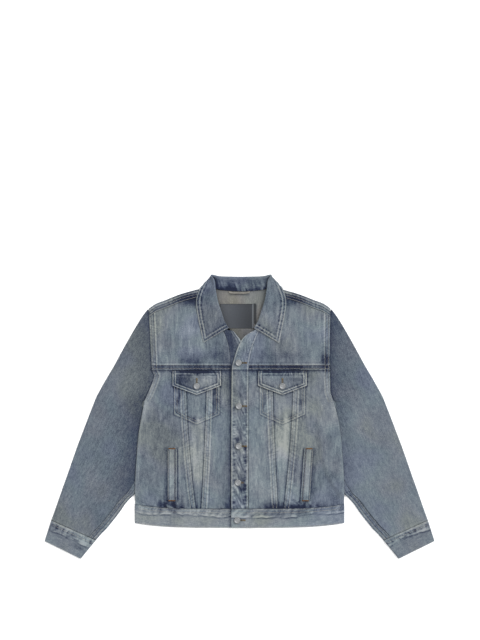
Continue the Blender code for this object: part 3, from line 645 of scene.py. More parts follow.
def waist_field(x, y):
    """The waist seam gathers the cloth above it, most where it was folded."""
    waist = y - WAIST_Y
    folded = marks(x, *WAIST_FOLDS)
    near = np.exp(-np.maximum(waist, 0) / (9 + 9 * folded))
    ridge, vein = crumples(x, waist + 0.4 * x, (15, 6), 43)
    gather = (ripples(x + 0.5 * waist, waist, 19, 41) + 0.7 * ridge) * near
    dark = folded * (0.45 * np.minimum(gather + 0.1, 0) - 0.6 * vein * near)
    fade = 0.18 * gather + dark - 0.10 * np.exp(-np.maximum(waist, 0) / 4)
    return (0.8 + 0.9 * folded) * gather, fade


def shade_beside_welt(x, y, side):
    """Painted shade on the front along the welt: a dark line beside each of its edges and a broad one
    outside the outer edge; a paler line lies further in.
    """
    a = side * x - welt_lean(y, side)
    low, high = WELT_X
    lines = marks(
        a, (low - 2, 2.0, 0.42), (low - 8, 2.6, -0.14), (high + 1.2, 1.5, 0.34), (high + 6, 4, 0.16)
    )
    return -lines * step(-6, 0, y - WELT_Y[0]) * step(-6, 0, WELT_Y[1] - y)


def front_field(x, y, side):
    """Relief and fading of the front, by where a place lies among its seams."""
    a = side * x
    above = y >= YOKE_Y
    edge = side_x(y, side) - a
    inner, outer = a - seam_x(INNER_SEAM_X, y), a - seam_x(OUTER_SEAM_X, y)
    pale = FADE["v_panel"] + V_WORN * bell(y - V_WORN_Y[side], V_WORN_HALF)
    fade = np.where(inner < 0, FADE["inner"], np.where(outer < 0, pale, FADE["side"]))
    fade = np.where(above, FADE["yoke"], fade) + cloudy(x, y, 161) + spots(x, y)
    lengthwise = noise(x, y, (3.8, 60), 201) + 0.6 * noise(x, y, (9, 90), 202)
    fade = fade + 0.09 * lengthwise * np.where(above, 0.7, bell(a - 100, 50))
    rise = billow(x, y, 3)
    below = 1.1 * ~above
    sleeved = step(-12, 34, y - ARMHOLE_END_Y) * (1 - 0.4 * bell(y - 78, 34))
    seams = (
        # distance, along, share, seed, kind
        (y - YOKE_Y, x, 1, 11, "yoke"),
        (-inner, y, below, 12, "panel"),
        (outer, y, below, 13, "panel"),
        (edge, y, sleeved, 14, "armhole"),
    )
    for d, along, share, seed, kind in seams:
        up, worn = felled(d, along, seed + (side > 0) * 20, kind)
        rise, fade = rise + up * share, fade + worn * share
    for up, worn in (pocket_field(x, y, side), waist_field(x, y)):
        rise, fade = rise + up, fade + worn
    fade = fade + FOLD_WORN[side] * bell(edge - 7, 7) * step(-105, -85, -y) * step(-30, 20, y)
    fade = fade + 0.10 * bell(side_x(y) - a, 7) * step(-50, -20, -y) + shade_beside_welt(x, y, side)
    if side < 0:  # the shade of the placket that laps over
        fade = fade - 0.46 * np.exp(-np.maximum(a - LAP_FULL_X + 2, 0) / 7.5) * step(-150, -120, -y)
    return rise, fade


def placket_field(x, y):
    """The placket is shrunk between its two rows: steep creases in its middle and short
    ones across its edges, deeper towards the waist."""
    low = step(-90, 60, -y)
    middle, edge = bell(x - 1, 13), marks(x, (15, 7, 1), (-14, 6, 1))
    steep = 0.8 * streaks(x, y, 117, (2.8, 24), 51) + 0.5 * streaks(x, y, 103, (2.6, 14), 52)
    short = 0.8 * streaks(x, y, 12, (2.8, 11), 53) + 0.4 * streaks(x, y, 150, (2.6, 9), 54)
    broad, vein = crumples(x + 0.5 * y, y, (9, 13), 55)
    wave = (0.4 + 0.6 * low) * (steep * middle + short * edge) + 0.2 * broad * (middle + edge)
    pinch = dashes(y + 0.4 * x, x, 57)
    edges = marks(x, (-20.2, 1.9, 0.20), (20, 1.6, 0.22)) * (1.1 - 0.5 * pinch)
    grooves = marks(x, (-14.5, 1.8, 0.12), (15.5, 1.8, 0.20), (13, 5, 0.14 * low))
    seam = marks(y - YOKE_Y, (-1, 2.5, 0.34), (4, 2, -0.14))
    dark = 0.16 * vein * middle + 0.10 * pinch * edge + 0.03 * low
    fade = FADE["placket"] + 0.40 * wave + 0.14 * step(0.2, 0.7, wave) + edges - grooves - seam - dark
    rise = 0.9 + 0.75 * wave - marks(x, (-17, 1.4, 0.3), (17, 1.4, 0.3))
    return rise, fade + cloudy(x, y, 165) + spots(x, y)


def flap_field(x, y, side):
    """The flap's doubled edge with its two rows, puckered along the point."""
    d = inside(x, y, pentagon(side, FLAP_CORNER_Y, FLAP_TIP_Y))
    down = POCKET_TOP_Y - y
    open_edge = step(0, 8, down)
    ridge, vein = crumples(x, y, (13, 10), 65)
    wave = ripples(x + 0.4 * y, d, 8, 61 + side) * bell(d - 3, 13) + 0.5 * ridge * bell(d - 12, 10)
    rise = 0.45 * wave - open_edge * marks(d, (2.4, 1.2, 0.35), (8.2, 1.2, 0.35))
    pinch = dashes(x + 0.3 * y, d, 63)
    edges = marks(d, (0.8, 1.9, 0.36), (7.2, 1.8, 0.30)) * (1.4 - 1.1 * pinch)
    grooves = marks(d, (4, 1.4, 0.30), (10.4, 1.8, 0.28), (14, 9, 0.18 * vein), (6, 7, 0.26 * pinch))
    uneven = 0.75 + 0.45 * noise(x, y, (22, 60), 67)
    depth = down - 3 * noise(x, y * 0, (26, 1), 68)
    top = 0.60 * (1 - step(3.5, 8, depth)) * uneven - 0.10 * bell(down - 12, 4)
    fade = FADE["flap"] + 0.18 * wave + (edges - grooves) * open_edge - top
    return rise, fade + cloudy(x, y, 169) + spots(x, y)


def welt_lean(y, side):
    """How far a side pocket's slanting line lies outside its middle place."""
    return WELT_LEAN[side] * (y - sum(WELT_Y) / 2)


def welt_field(x, y, side):
    """The welt: a pale strip between two sharp lines, with a worn edge at the opening."""
    a = side * x - welt_lean(y, side)
    low, high = WELT_X
    wave = ripples(y, a, 15, 71)
    worn = marks(a, (high - 6, 1.8, 0.12), (low + 1.2, 1.4, 0.08), ((low + high) / 2 + 1, 5, 0.06))
    grooves = marks(a, (low + 4.2, 1.5, 0.78), (high - 3.4, 1.6, 0.42), (high, 1.3, 0.24))
    ends = marks(y, (WELT_Y[0] + 6, 5, 0.20), (WELT_Y[1] - 6, 5, 0.10))
    fade = FADE["welt"] + worn - grooves * (1 + 0.25 * wave) - ends + 0.05 * wave
    return 0.15 * wave, fade + 0.5 * cloudy(x, y, 173)


def band_field(along, down, seed):
    """A waistband or cuff: its upper part is puckered as far as the seam allowance inside.

    down is the distance from its sewn edge. The allowance's end shows as an uneven ridge
    that is worn pale, with a dark line under it."""

    def uneven(length, shift):
        return noise(along, down * 0, (length, 1), seed + shift)

    beyond = down - (18 + 5 * uneven(46, 0) + 1.6 * uneven(11, 1))
    inner = 1 - step(-2.5, 1.5, beyond)
    ridge, vein = crumples(along, down, (17, 9), seed + 15)
    wave = 0.7 * ripples(along + 0.5 * down, down, 21, seed + 2) + 0.7 * ridge
    rise = inner * (0.6 + 0.85 * wave) + 0.4 * billow(along, down, seed + 7)
    edge = marks(beyond, (-2.4, 2.2, 0.30), (1.2, 1.6, -0.46)) * (0.7 + 0.6 * wave)
    shut = 0.16 * np.exp(-np.maximum(down, 0) / 1.6) + 0.20 * bell(down, 8)
    shut = (0.6 + 0.6 * uneven(55, 9)) * shut
    pinched = 0.20 * dashes(along, down, seed + 11) * bell(down - 7, 6)
    fade = inner * (0.24 * wave - 0.24 * vein - 0.01) + edge + 0.12 * bell(down - 5, 2) - shut - pinched
    return rise, fade + 0.6 * cloudy(along, down, seed + 13)


# Materials


def linear(hex_colour):
    """An sRGB hex value as linear red, green, blue and alpha."""
    srgb = [int(hex_colour[k : k + 2], 16) / 255 for k in (1, 3, 5)]
    return [c / 12.92 if c <= 0.04045 else ((c + 0.055) / 1.055) ** 2.4 for c in srgb] + [1]


def add_node(tree, kind, inputs=(), stops=(), **settings):
    """Adds a node with its settings, and for a colour ramp its (place, hex) stops.

    An input is a value, or a socket that it is linked to."""
    node = tree.nodes.new("ShaderNode" + kind)
    for name, value in settings.items():
        setattr(node, name, value)
    for name, value in dict(inputs).items():
        if isinstance(value, bpy.types.NodeSocket):
            tree.links.new(value, node.inputs[name])
        else:
            node.inputs[name].default_value = value
    for _ in stops[2:]:
        node.color_ramp.elements.new(0.5)
    for k, (place, colour) in enumerate(stops):
        element = node.color_ramp.elements[k]
        element.position, element.color = place, linear(colour)
    return node


def new_material(name, **values):
    """A Principled material, with the given values set on its own sockets."""
    made = bpy.data.materials.new(name)
    made.use_nodes = True
    shader = made.node_tree.nodes["Principled BSDF"]
    for key, value in values.items():
        shader.inputs[key.replace("_", " ")].default_value = value
    return made, made.node_tree, shader


def coloured(tree, shader, factor, stops):
    """Colours the shader by the stops over the factor."""
    dye = add_node(tree, "ValToRGB", {"Fac": factor}, stops)
    tree.links.new(dye.outputs["Color"], shader.inputs["Base Color"])


def cloth_pattern(tree, kind, across, along, inputs=(), **settings):
    """A pattern on the cloth whose cells are that many mm across and along the warp."""
    cloth = add_node(tree, "UVMap", uv_map="cloth").outputs["UV"]
    size = (1 / (across * MM), 1 / (along * MM), 1)
    place = add_node(tree, "Mapping", {"Vector": cloth, "Scale": size}).outputs["Vector"]
    inputs = {"Vector": place, "Scale": 1.0, **dict(inputs)}
    return add_node(tree, kind, inputs, **settings).outputs["Fac"]


def speckles(tree, scale, detail=2.0):
    """A noise through the piece's own space, with that many cells to a metre."""
    place = add_node(tree, "TexCoord").outputs["Object"]
    inputs = {"Vector": place, "Scale": scale, "Detail": detail}
    return add_node(tree, "TexNoise", inputs).outputs["Fac"]


def total(tree, base, *terms):
    """base plus each (socket - 0.5) times its weight."""
    for socket, weight in terms:
        centred = add_node(tree, "Math", {0: socket, 1: -0.5}, operation="ADD").outputs[0]
        inputs = {0: centred, 1: weight, 2: base}
        base = add_node(tree, "Math", inputs, operation="MULTIPLY_ADD").outputs[0]
    return base


DENIM_STOPS = (
    (0.0, "#141b2e"),
    (0.2, "#2b3344"),
    (0.4, "#444b55"),
    (0.6, "#5a6169"),
    (0.8, "#6c7377"),
    (1.0, "#82878a"),
)
TINTS = ((0.32, "#eff2ff"), (0.44, "#f3fafb"), (0.56, "#fbf9fb"), (0.68, "#fdfbf1"))
REVERSE_STOPS = ((0.0, "#2e3032"), (0.45, "#535455"), (0.75, "#646462"), (1.0, "#7d7c78"))


def washed_denim(name, stops, contrast=1.0, layer="fade"):
    """Indigo twill, stone washed: matt cotton, slubby along the warp, blotched by the wash.

    The twill's diagonal ribs are really 0.9 mm apart and are drawn at 1.8 mm, and its
    slubs at twice their width, because finer ones wouldn't show."""
    made, tree, shader = new_material(
        name, Roughness=0.92, Specular_IOR_Level=0.18, Sheen_Weight=0.12, Sheen_Roughness=0.5
    )
    fade = add_node(tree, "Attribute", attribute_name=layer).outputs["Fac"]
    warm = add_node(tree, "Attribute", attribute_name="warm").outputs["Fac"]

    def cloud(across, along, detail, roughness=0.55):
        inputs = {"Detail": detail, "Roughness": roughness}
        return cloth_pattern(tree, "TexNoise", across, along, inputs, noise_dimensions="2D")

    slub = cloud(2.6, 15, 2)
    streak = cloud(11, 45, 1)
    mottle = cloud(6.5, 8.5, 3, 0.65)
    wash = cloud(38, 55, 2)
    grain = cloud(1.8, 2.6, 1)
    diagonal = {"Scale": 2 / TURN}
    twill = cloth_pattern(tree, "TexWave", 1.8, 1.8, diagonal, bands_direction="DIAGONAL")
    weights = ((slub, 0.34), (streak, 0.12), (mottle, 0.34), (wash, 0.08), (grain, 0.46))
    weights = [(socket, weight * contrast) for socket, weight in (*weights, (twill, 0.06))]
    worn = total(tree, fade, *weights)
    hue = add_node(tree, "Math", {0: cloud(150, 170, 2), 1: warm}, operation="ADD").outputs[0]
    dye = add_node(tree, "ValToRGB", {"Fac": worn}, stops).outputs["Color"]
    tint = add_node(tree, "ValToRGB", {"Fac": hue}, TINTS).outputs["Color"]
    inputs = {0: 1.0, 6: dye, 7: tint}
    mixed = add_node(tree, "Mix", inputs, data_type="RGBA", blend_type="MULTIPLY").outputs[2]
    tree.links.new(mixed, shader.inputs["Base Color"])
    height = total(tree, twill, (slub, 0.9), (grain, 0.8))
    bump = add_node(tree, "Bump", {"Height": height, "Strength": 0.5, "Distance": 0.3 * MM})
    tree.links.new(bump.outputs["Normal"], shader.inputs["Normal"])
    return made


def pocket_cotton():
    """Plain woven pocketing: undyed cotton, thin and flat, drawn with a 2 mm weave."""
    made, tree, shader = new_material("pocket_cotton", Roughness=0.9, Specular_IOR_Level=0.2)
    weave = cloth_pattern(tree, "TexChecker", 2, 2)
    coloured(tree, shader, weave, ((0.0, "#b9b3a4"), (1.0, "#c9c4b7")))
    return made


def woven_label():
    """Dense dark grey damask weave: smoother and flatter than the denim, with a faint rib."""
    made, tree, shader = new_material("woven_label", Roughness=0.85, Specular_IOR_Level=0.15)
    fade = add_node(tree, "Attribute", attribute_name="fade").outputs["Fac"]
    ribs = cloth_pattern(tree, "TexNoise", 5, 2.5, {"Detail": 2.0}, noise_dimensions="2D")
    worn = total(tree, fade, (ribs, 0.12))
    coloured(tree, shader, worn, ((0.0, "#242629"), (0.5, "#3f4247"), (1.0, "#5a5d60")))
    return made


def cotton_thread(name, dark, light):
    """Twisted cotton thread: matt, a little uneven in colour along its length."""
    made, tree, shader = new_material(name, Roughness=0.8, Specular_IOR_Level=0.25)
    coloured(tree, shader, speckles(tree, 160.0), ((0.3, dark), (0.7, light)))
    return made


def cast_nickel():
    """Nickel-plated zinc, tumbled in the wash: dull silver, with fine scuffs."""
    made, tree, shader = new_material("tumbled_nickel", Metallic=0.85)
    scuffs = speckles(tree, 700.0, 3.0)
    coloured(tree, shader, scuffs, ((0.3, "#6e7072"), (0.7, "#8b8d8f")))
    rough = add_node(tree, "Math", {0: scuffs, 1: 0.2, 2: 0.42}, operation="MULTIPLY_ADD")
    tree.links.new(rough.outputs[0], shader.inputs["Roughness"])
    return made


# Meshes


def add_mesh(name, points, faces, material, fade=None, cloth=None, inside=0.7):
    """A mesh object from arrays, in metres, with its own fade and cloth coordinates.

    inside is the fade of the cloth's reverse; on the back yoke it carries painted shade inside the neck."""
    used, place = np.unique(faces, return_inverse=True)
    faces = place.reshape(faces.shape)
    count, sides = faces.shape
    mesh = bpy.data.meshes.new(name)
    mesh.vertices.add(len(used))
    mesh.vertices.foreach_set("co", (points[used] * MM).astype(np.float32).ravel())
    mesh.loops.add(count * sides)
    mesh.loops.foreach_set("vertex_index", faces.astype(np.int32).ravel())
    mesh.polygons.add(count)
    mesh.polygons.foreach_set("loop_start", np.arange(0, count * sides, sides, dtype=np.int32))
    mesh.update(calc_edges=True)
    mesh.shade_smooth()
    if fade is not None:
        inside = np.broadcast_to(inside, fade.shape).ravel()
        warm = spots(points[:, 0], points[:, 1], WARM)
        layers = {"fade": fade.ravel(), "inside": inside, "warm": warm}
        for key, values in layers.items():
            layer = mesh.attributes.new(key, "FLOAT", "POINT").data
            layer.foreach_set("value", values[used].astype(np.float32))
    if cloth is not None:
        uv = (cloth.reshape(-1, 2)[used][faces.ravel()] * MM).astype(np.float32)
        mesh.uv_layers.new(name="cloth").data.foreach_set("uv", uv.ravel())
    for finish in material if isinstance(material, (list, tuple)) else [material]:
        mesh.materials.append(finish)
    made = bpy.data.objects.new(name, mesh)
    bpy.context.scene.collection.objects.link(made)
    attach(made, "root")
    return made


def grid_faces(rows, columns, ring=False):
    """Four-cornered faces of a grid, as an array of rows by columns by corners."""
    number = np.arange(rows * columns).reshape(rows, columns)
    if ring:
        number = np.concatenate([number, number[:, :1]], axis=1)
    corners = (number[:-1, :-1], number[:-1, 1:], number[1:, 1:], number[1:, :-1])
    return np.stack(corners, axis=-1)


def cloth_piece(
    node, points, fade, cloth, wall, finish, up=True, keep=None, ring=False, inside=0.7
):
    """The cloth that stands for a node: a wall round a grid of middle points.

    up says whether the face side of the cloth looks up at the grid's first corner. With
    two finishes, the second is the reverse's."""
    faces = grid_faces(*points.shape[:2], ring)
    first = points.reshape(-1, 3)[faces[0, 0]]
    if (np.cross(first[1] - first[0], first[3] - first[0])[2] > 0) != up:
        faces = faces[..., ::-1]
    faces = faces[keep] if keep is not None else faces.reshape(-1, 4)
    fade = np.broadcast_to(fade, points.shape[:2])
    piece = add_mesh(f"{node}_cloth", points.reshape(-1, 3), faces, finish, fade, cloth, inside)
    solid = piece.modifiers.new("wall", "SOLIDIFY")
    solid.thickness, solid.offset = wall * MM, 0
    solid.material_offset = len(piece.data.materials) - 1
    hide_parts(node)
    kind, side_word = node, ""
    for word in ("_left", "_right"):
        if node.endswith(word):
            kind, side_word = node[: -len(word)], word
    width, length, area, rests_on = CUTS[kind]
    under = (rests_on,) if isinstance(rests_on, str) else rests_on
    under = [name if name in (*NODES, "floor") else name + side_word for name in under]
    return piece


def spindles(name, places, alongs, radius, finish):
    """Low stitches: each is two rings of five points between two sunken ends."""
    up = np.array((0.0, 0.0, 1.0))
    across = np.cross(up, alongs)
    across = across / np.maximum(np.linalg.norm(across, axis=1, keepdims=True), 1e-9)
    angle = np.linspace(0, TURN, 6)[:-1]
    around = radius * (np.cos(angle)[:, None] * across[:, None] + np.sin(angle)[:, None] * up)
    sunk = places - 0.5 * radius * up
    ends = [(sunk + share * alongs)[:, None] for share in (-0.5, 0.5)]
    rings = [(places + share * alongs)[:, None] + around for share in (-0.24, 0.24)]
    points = np.concatenate([ends[0], *rings, ends[1]], axis=1)
    k = np.arange(5)
    after = (k + 1) % 5
    near, far = np.stack([0 * k, 1 + k, 1 + after], 1), np.stack([0 * k + 11, 6 + after, 6 + k], 1)
    side = np.stack([1 + k, 6 + k, 6 + after], 1), np.stack([1 + k, 6 + after, 1 + after], 1)
    base = np.concatenate([near, *side, far])
    faces = (base[None] + 12 * np.arange(len(places))[:, None, None]).reshape(-1, 3)
    piece = add_mesh(name, points.reshape(-1, 3), faces, finish)
    return piece


def sewn(name, lines, finish, covers=(), length=STITCH, pitch=STITCH_PITCH, radius=THREAD):
    """Running stitches along lines of points, a pitch apart, but none under the covers."""
    places, alongs = [], []
    for path in lines:
        path = np.asarray(path, float)
        run = run_along(path)
        middle = np.arange(pitch / 2, run[-1], pitch)
        start, end = (points_at(path, run, middle + shift) for shift in (-length / 2, length / 2))
        places.append((start + end) / 2)
        alongs.append(end - start)
    places, alongs = np.concatenate(places), np.concatenate(alongs)
    for corners in covers:
        shown = inside(places[:, 0], places[:, 1], corners) < 0
        places, alongs = places[shown], alongs[shown]
    return spindles(name, places, alongs, radius, finish)


def with_z(x, y, z):
    """Points from their plan and heights."""
    return np.stack([x, y, z + np.zeros_like(x)], axis=-1)


def on_body(x, y, z):
    """Points on the body, whose lower part sags with the hem."""
    return with_z(x, y + sag(x, y), z)


def pair(across, along):
    """Cloth coordinates: places across and along the warp."""
    return np.stack([across, along], axis=-1)


def grid(rows, columns):
    """Two arrays of rows by columns from one row and one column of values."""
    return np.broadcast_arrays(np.asarray(rows)[:, None], np.asarray(columns)[None])


def run_across(points):
    """Distance along each row of a grid from its first point."""
    steps = np.linalg.norm(np.diff(points, axis=1), axis=2)
    return np.concatenate([np.zeros((len(points), 1)), np.cumsum(steps, axis=1)], axis=1)


# Body


def placket_edges(side, count):
    """Free edge and seam of a placket, count points each."""
    table = rows_at(PLACKET_ROWS, np.linspace(0, len(PLACKET_ROWS) - 1, count))
    edges = []
    for x, y in (table[:, :2].T, table[:, 2:].T):
        edges.append(np.stack([side * x + NECK_SHIFT * step(*PLACKET_SHIFT_Y, y), y], axis=1))
    return edges


def shoulder_seam(top_x):
    """The seam between back and front yoke, for points of the shoulder at top_x."""
    y = curve(np.abs(top_x), SHOULDER["x"], SHOULDER["y"]) - SHOULDER_WRAP
    return top_x * side_x(y, top_x) / side_x(SHOULDER["y"][-1]), y


def front_piece(node, side, x, y, finish):
    """A piece of the front from its plan, with the front's height and relief."""
    rise, fade = front_field(x, y, side)
    points = on_body(x, y, front_z(x, y, side) + rise)
    return cloth_piece(node, points, fade, pair(x, y), WALL, finish)


def front_panel(node, side, edges, finish):
    """A panel between two seams, from the waistband to the yoke."""
    y = spaced(WAIST_Y, YOKE_Y - SEAM_GAP, FINE)
    start, end = seam_x(edges[0], y) + SEAM_GAP / 2, seam_x(edges[1], y) - SEAM_GAP / 2
    share = spaced(0, 1, FINE / np.max(end - start))
    x = side * (start[:, None] * (1 - share) + end[:, None] * share)
    return front_piece(node, side, x, np.repeat(y[:, None], len(share), 1), finish)


def front_yoke(node, side, finish):
    """The patch between the placket and neck, the shoulder, the armhole and the yoke seam."""
    seam = placket_edges(side, 101)[1][10 * PLACKET_YOKE_ROW :] + (side * SEAM_GAP, 0)
    corner_x, corner_y = FRONT_NECK_CORNER
    neck_end = (side * corner_x + NECK_SHIFT, corner_y)
    neck_x, neck_y = COLLAR_SECTIONS[2][8:10]
    neck = (side * (neck_x + FRONT_NECK_GAP) + NECK_SHIFT, neck_y - FRONT_NECK_GAP / 2)
    top_x = side * np.linspace(FRONT_SHOULDER_X, SHOULDER["x"][-1], 60)
    top = np.stack(shoulder_seam(top_x), axis=1) - (0, SEAM_GAP)
    rows, columns = (round(length / FINE) for length in YOKE_SIZE)
    inner = resample(np.vstack([seam, neck, neck_end]), rows)
    top = resample(np.vstack([neck_end, top]), columns)
    arm_y = np.linspace(YOKE_Y, top[-1, 1], rows)
    outer = np.stack([side * side_x(arm_y, side), arm_y], axis=1)
    plan = patch(np.linspace(inner[0], outer[0], columns), top, inner, outer)
    return front_piece(node, side, plan[..., 0], plan[..., 1], finish)


def wrapped(side, x, y, z, fade, back_x, under_z, shares):
    """A front's rows carried on round the body's side and back under it to back_x.

    under_z gives the height of the part underneath, and shares where its points are."""
    out, turn_z = half_turn(z[:, -1], under_z(x[:, -1], y[:, 0]))
    turn_x = x[:, -1:] + side * out
    under = turn_x[:, -1:] + (back_x - turn_x[:, -1:]) * np.array(shares)
    z = np.concatenate([z, turn_z[:, 1:], under_z(under, y[:, :1])], axis=1)
    x = np.concatenate([x, turn_x[:, 1:], under], axis=1)
    fade = np.concatenate([fade, np.repeat(fade[:, -1:], x.shape[1] - fade.shape[1], 1)], axis=1)
    return x, np.repeat(y[:, :1], x.shape[1], 1), z, fade


def front_side(node, side, finish):
    """The side panel, wrapped round the body's side below the armhole to the side seam."""
    y = spaced(WAIST_Y, YOKE_Y - SEAM_GAP, FINE)[:, None]
    start, edge = seam_x(OUTER_SEAM_X, y) + SEAM_GAP / 2, side_x(y, side)
    rise, _ = front_field(side * (edge - 3), y, side)
    radius = (front_z(side * edge, y, side) + rise - BACK_Z - lift(edge, y)) / 2
    end = np.where(y <= ARMHOLE_END_Y, edge - radius - WALL / 2, edge)
    share = spaced(0, 1, FINE / np.max(end - start))
    x = side * (start * (1 - share) + end * share)
    y_grid = np.repeat(y, len(share), 1)
    rise, fade = front_field(x, y_grid, side)
    z = front_z(x, y_grid, side) + rise
    back_x = side * (edge - side_return(y))
    shares = (1 / 3, 2 / 3, 1)
    x, y_grid, z, fade = wrapped(
        side, x, y_grid, z, fade, back_x, lambda x, y: BACK_Z + lift(x, y), shares
    )
    points = on_body(x, y_grid, z)
    cloth = pair(side * (start + run_across(points)), y_grid)
    keep = np.ones((len(y) - 1, x.shape[1] - 1), bool)
    keep[y[:-1, 0] >= ARMHOLE_END_Y, len(share) - 1 :] = False
    return cloth_piece(node, points, fade, cloth, WALL, finish, keep=keep)


def placket_z(x, y, side):
    """Height of a placket's middle surface, without its relief."""
    return UNDER_PLACKET_Z + (LAP_RISE * lap(x) if side > 0 else 0) + lift(x, y)


def placket(node, side, finish):
    """The strip along a front's opening, which turns aside along the neck."""
    pitch = PLACKET_PITCH[side]
    free, seam = placket_edges(side, round(PLACKET_LENGTH / pitch))
    if side < 0:  # its top end shows beyond the upper one
        longer = (0, UNDER_PLACKET_LONGER) * step(200, 209, free[:, 1:])
        free, seam = free + longer, seam + longer
    share = spaced(0, 1, pitch / (2 * PLACKET_HALF))[None, :, None]
    plan = free[:, None] * (1 - share) + seam[:, None] * share
    x, y = plan[..., 0], plan[..., 1]
    across = np.broadcast_to(PLACKET_HALF * (2 * share[..., 0] - 1), x.shape)
    if side > 0:
        rise, fade = placket_field(across, y)
    else:
        # Painted shade: the under placket shows only in the shade of the collar and the upper placket,
        # so its base is a dark 0.22; its worn edge and row are paler on it.
        worn = marks(across, (-19, 4.0, 0.66), (-13.5, 2, -0.14), (-9.5, 2.4, 0.36))
        rise, fade = 0, 0.22 + worn + cloudy(x, y, 177)
    points = on_body(x, y, placket_z(x, y, side) + rise)
    return cloth_piece(node, points, fade, pair(x, y), PLY, finish)


def pocket_plan(side, corner_y, tip_y, inset, pitch):
    """Plan of a pocket or flap: columns from its pointed lower edge up to the yoke seam."""
    half = POCKET_HALF - inset
    share, across = grid(spaced(0, 1, pitch / POCKET_RUN), spaced(-1, 1, pitch / half))
    low = tip_y + (corner_y - tip_y) * np.abs(across)
    return side * POCKET_X + half * across, low * (1 - share) + POCKET_TOP_Y * share


def pocket_bag(node, side, finish):
    """The chest pocket's bag, on the inside of the front."""
    x, y = pocket_plan(side, BAG_CORNER_Y, BAG_TIP_Y, BAG_INSET, COARSE)
    z = front_z(x, y, side) - WALL / 2 - LAYER_GAP - BAG_WALL / 2
    cloth = pair(x, y)
    return cloth_piece(node, with_z(x, y, z), FADE["bag"], cloth, BAG_WALL, finish)


def flap_height(x, y, side):
    """Middle of the flap, which stands a little off the front's own relief."""
    on_pocket = front_z(x, y, side) + front_field(x, y, side)[0] + WALL / 2
    return on_pocket + LAYER_GAP + BAND / 2 + FLAP_PUFF + flap_field(x, y, side)[0]


def flap(node, side, finish):
    """The chest pocket's flap."""
    x, y = pocket_plan(side, FLAP_CORNER_Y, FLAP_TIP_Y, 0, FLAP_PITCH)
    points = with_z(x, y, flap_height(x, y, side))
    return cloth_piece(node, points, flap_field(x, y, side)[1], pair(x, y), BAND, finish)


def welt_height(x, y, side):
    """Middle of the welt, on the front's broad unevenness."""
    base = front_z(x, y, side) + billow(x, y, 3) + WALL / 2 + LAYER_GAP + WELT_WALL / 2
    return base + welt_field(x, y, side)[0]


def welt(node, side, finish):
    """The strip along the opening of a side pocket."""
    y, a = grid(spaced(*WELT_Y, FINE), spaced(*WELT_X, WELT_PITCH))
    x = side * (a + welt_lean(y, side))
    fade = welt_field(x, y, side)[1]
    points = on_body(x, y, welt_height(x, y, side))
    return cloth_piece(node, points, fade, pair(x, y), WELT_WALL, finish)


def back(node, finish):
    """The back panel, whose edges rise over the sleeves and end at the side seams."""
    y = spaced(WAIST_Y, BACK_YOKE_Y - SEAM_GAP, COARSE)
    share = spaced(-1, 1, COARSE / SIDE_EDGE["x"][0])
    edge = side_x(y[:, None], share)
    edge = edge - (y <= ARMHOLE_END_Y)[:, None] * (side_return(y) + SEAM_GAP)[:, None]
    x = edge * share
    y = np.repeat(y[:, None], len(share), 1)
    points = on_body(x, y, BACK_Z + lift(x, y))
    seam = 0.12 * bell(BACK_YOKE_Y - y - 4, 5) + 0.5 * spots(0 * x + 900, y)
    return cloth_piece(node, points, FADE["back"] + seam, pair(x, y), WALL, finish, up=False)


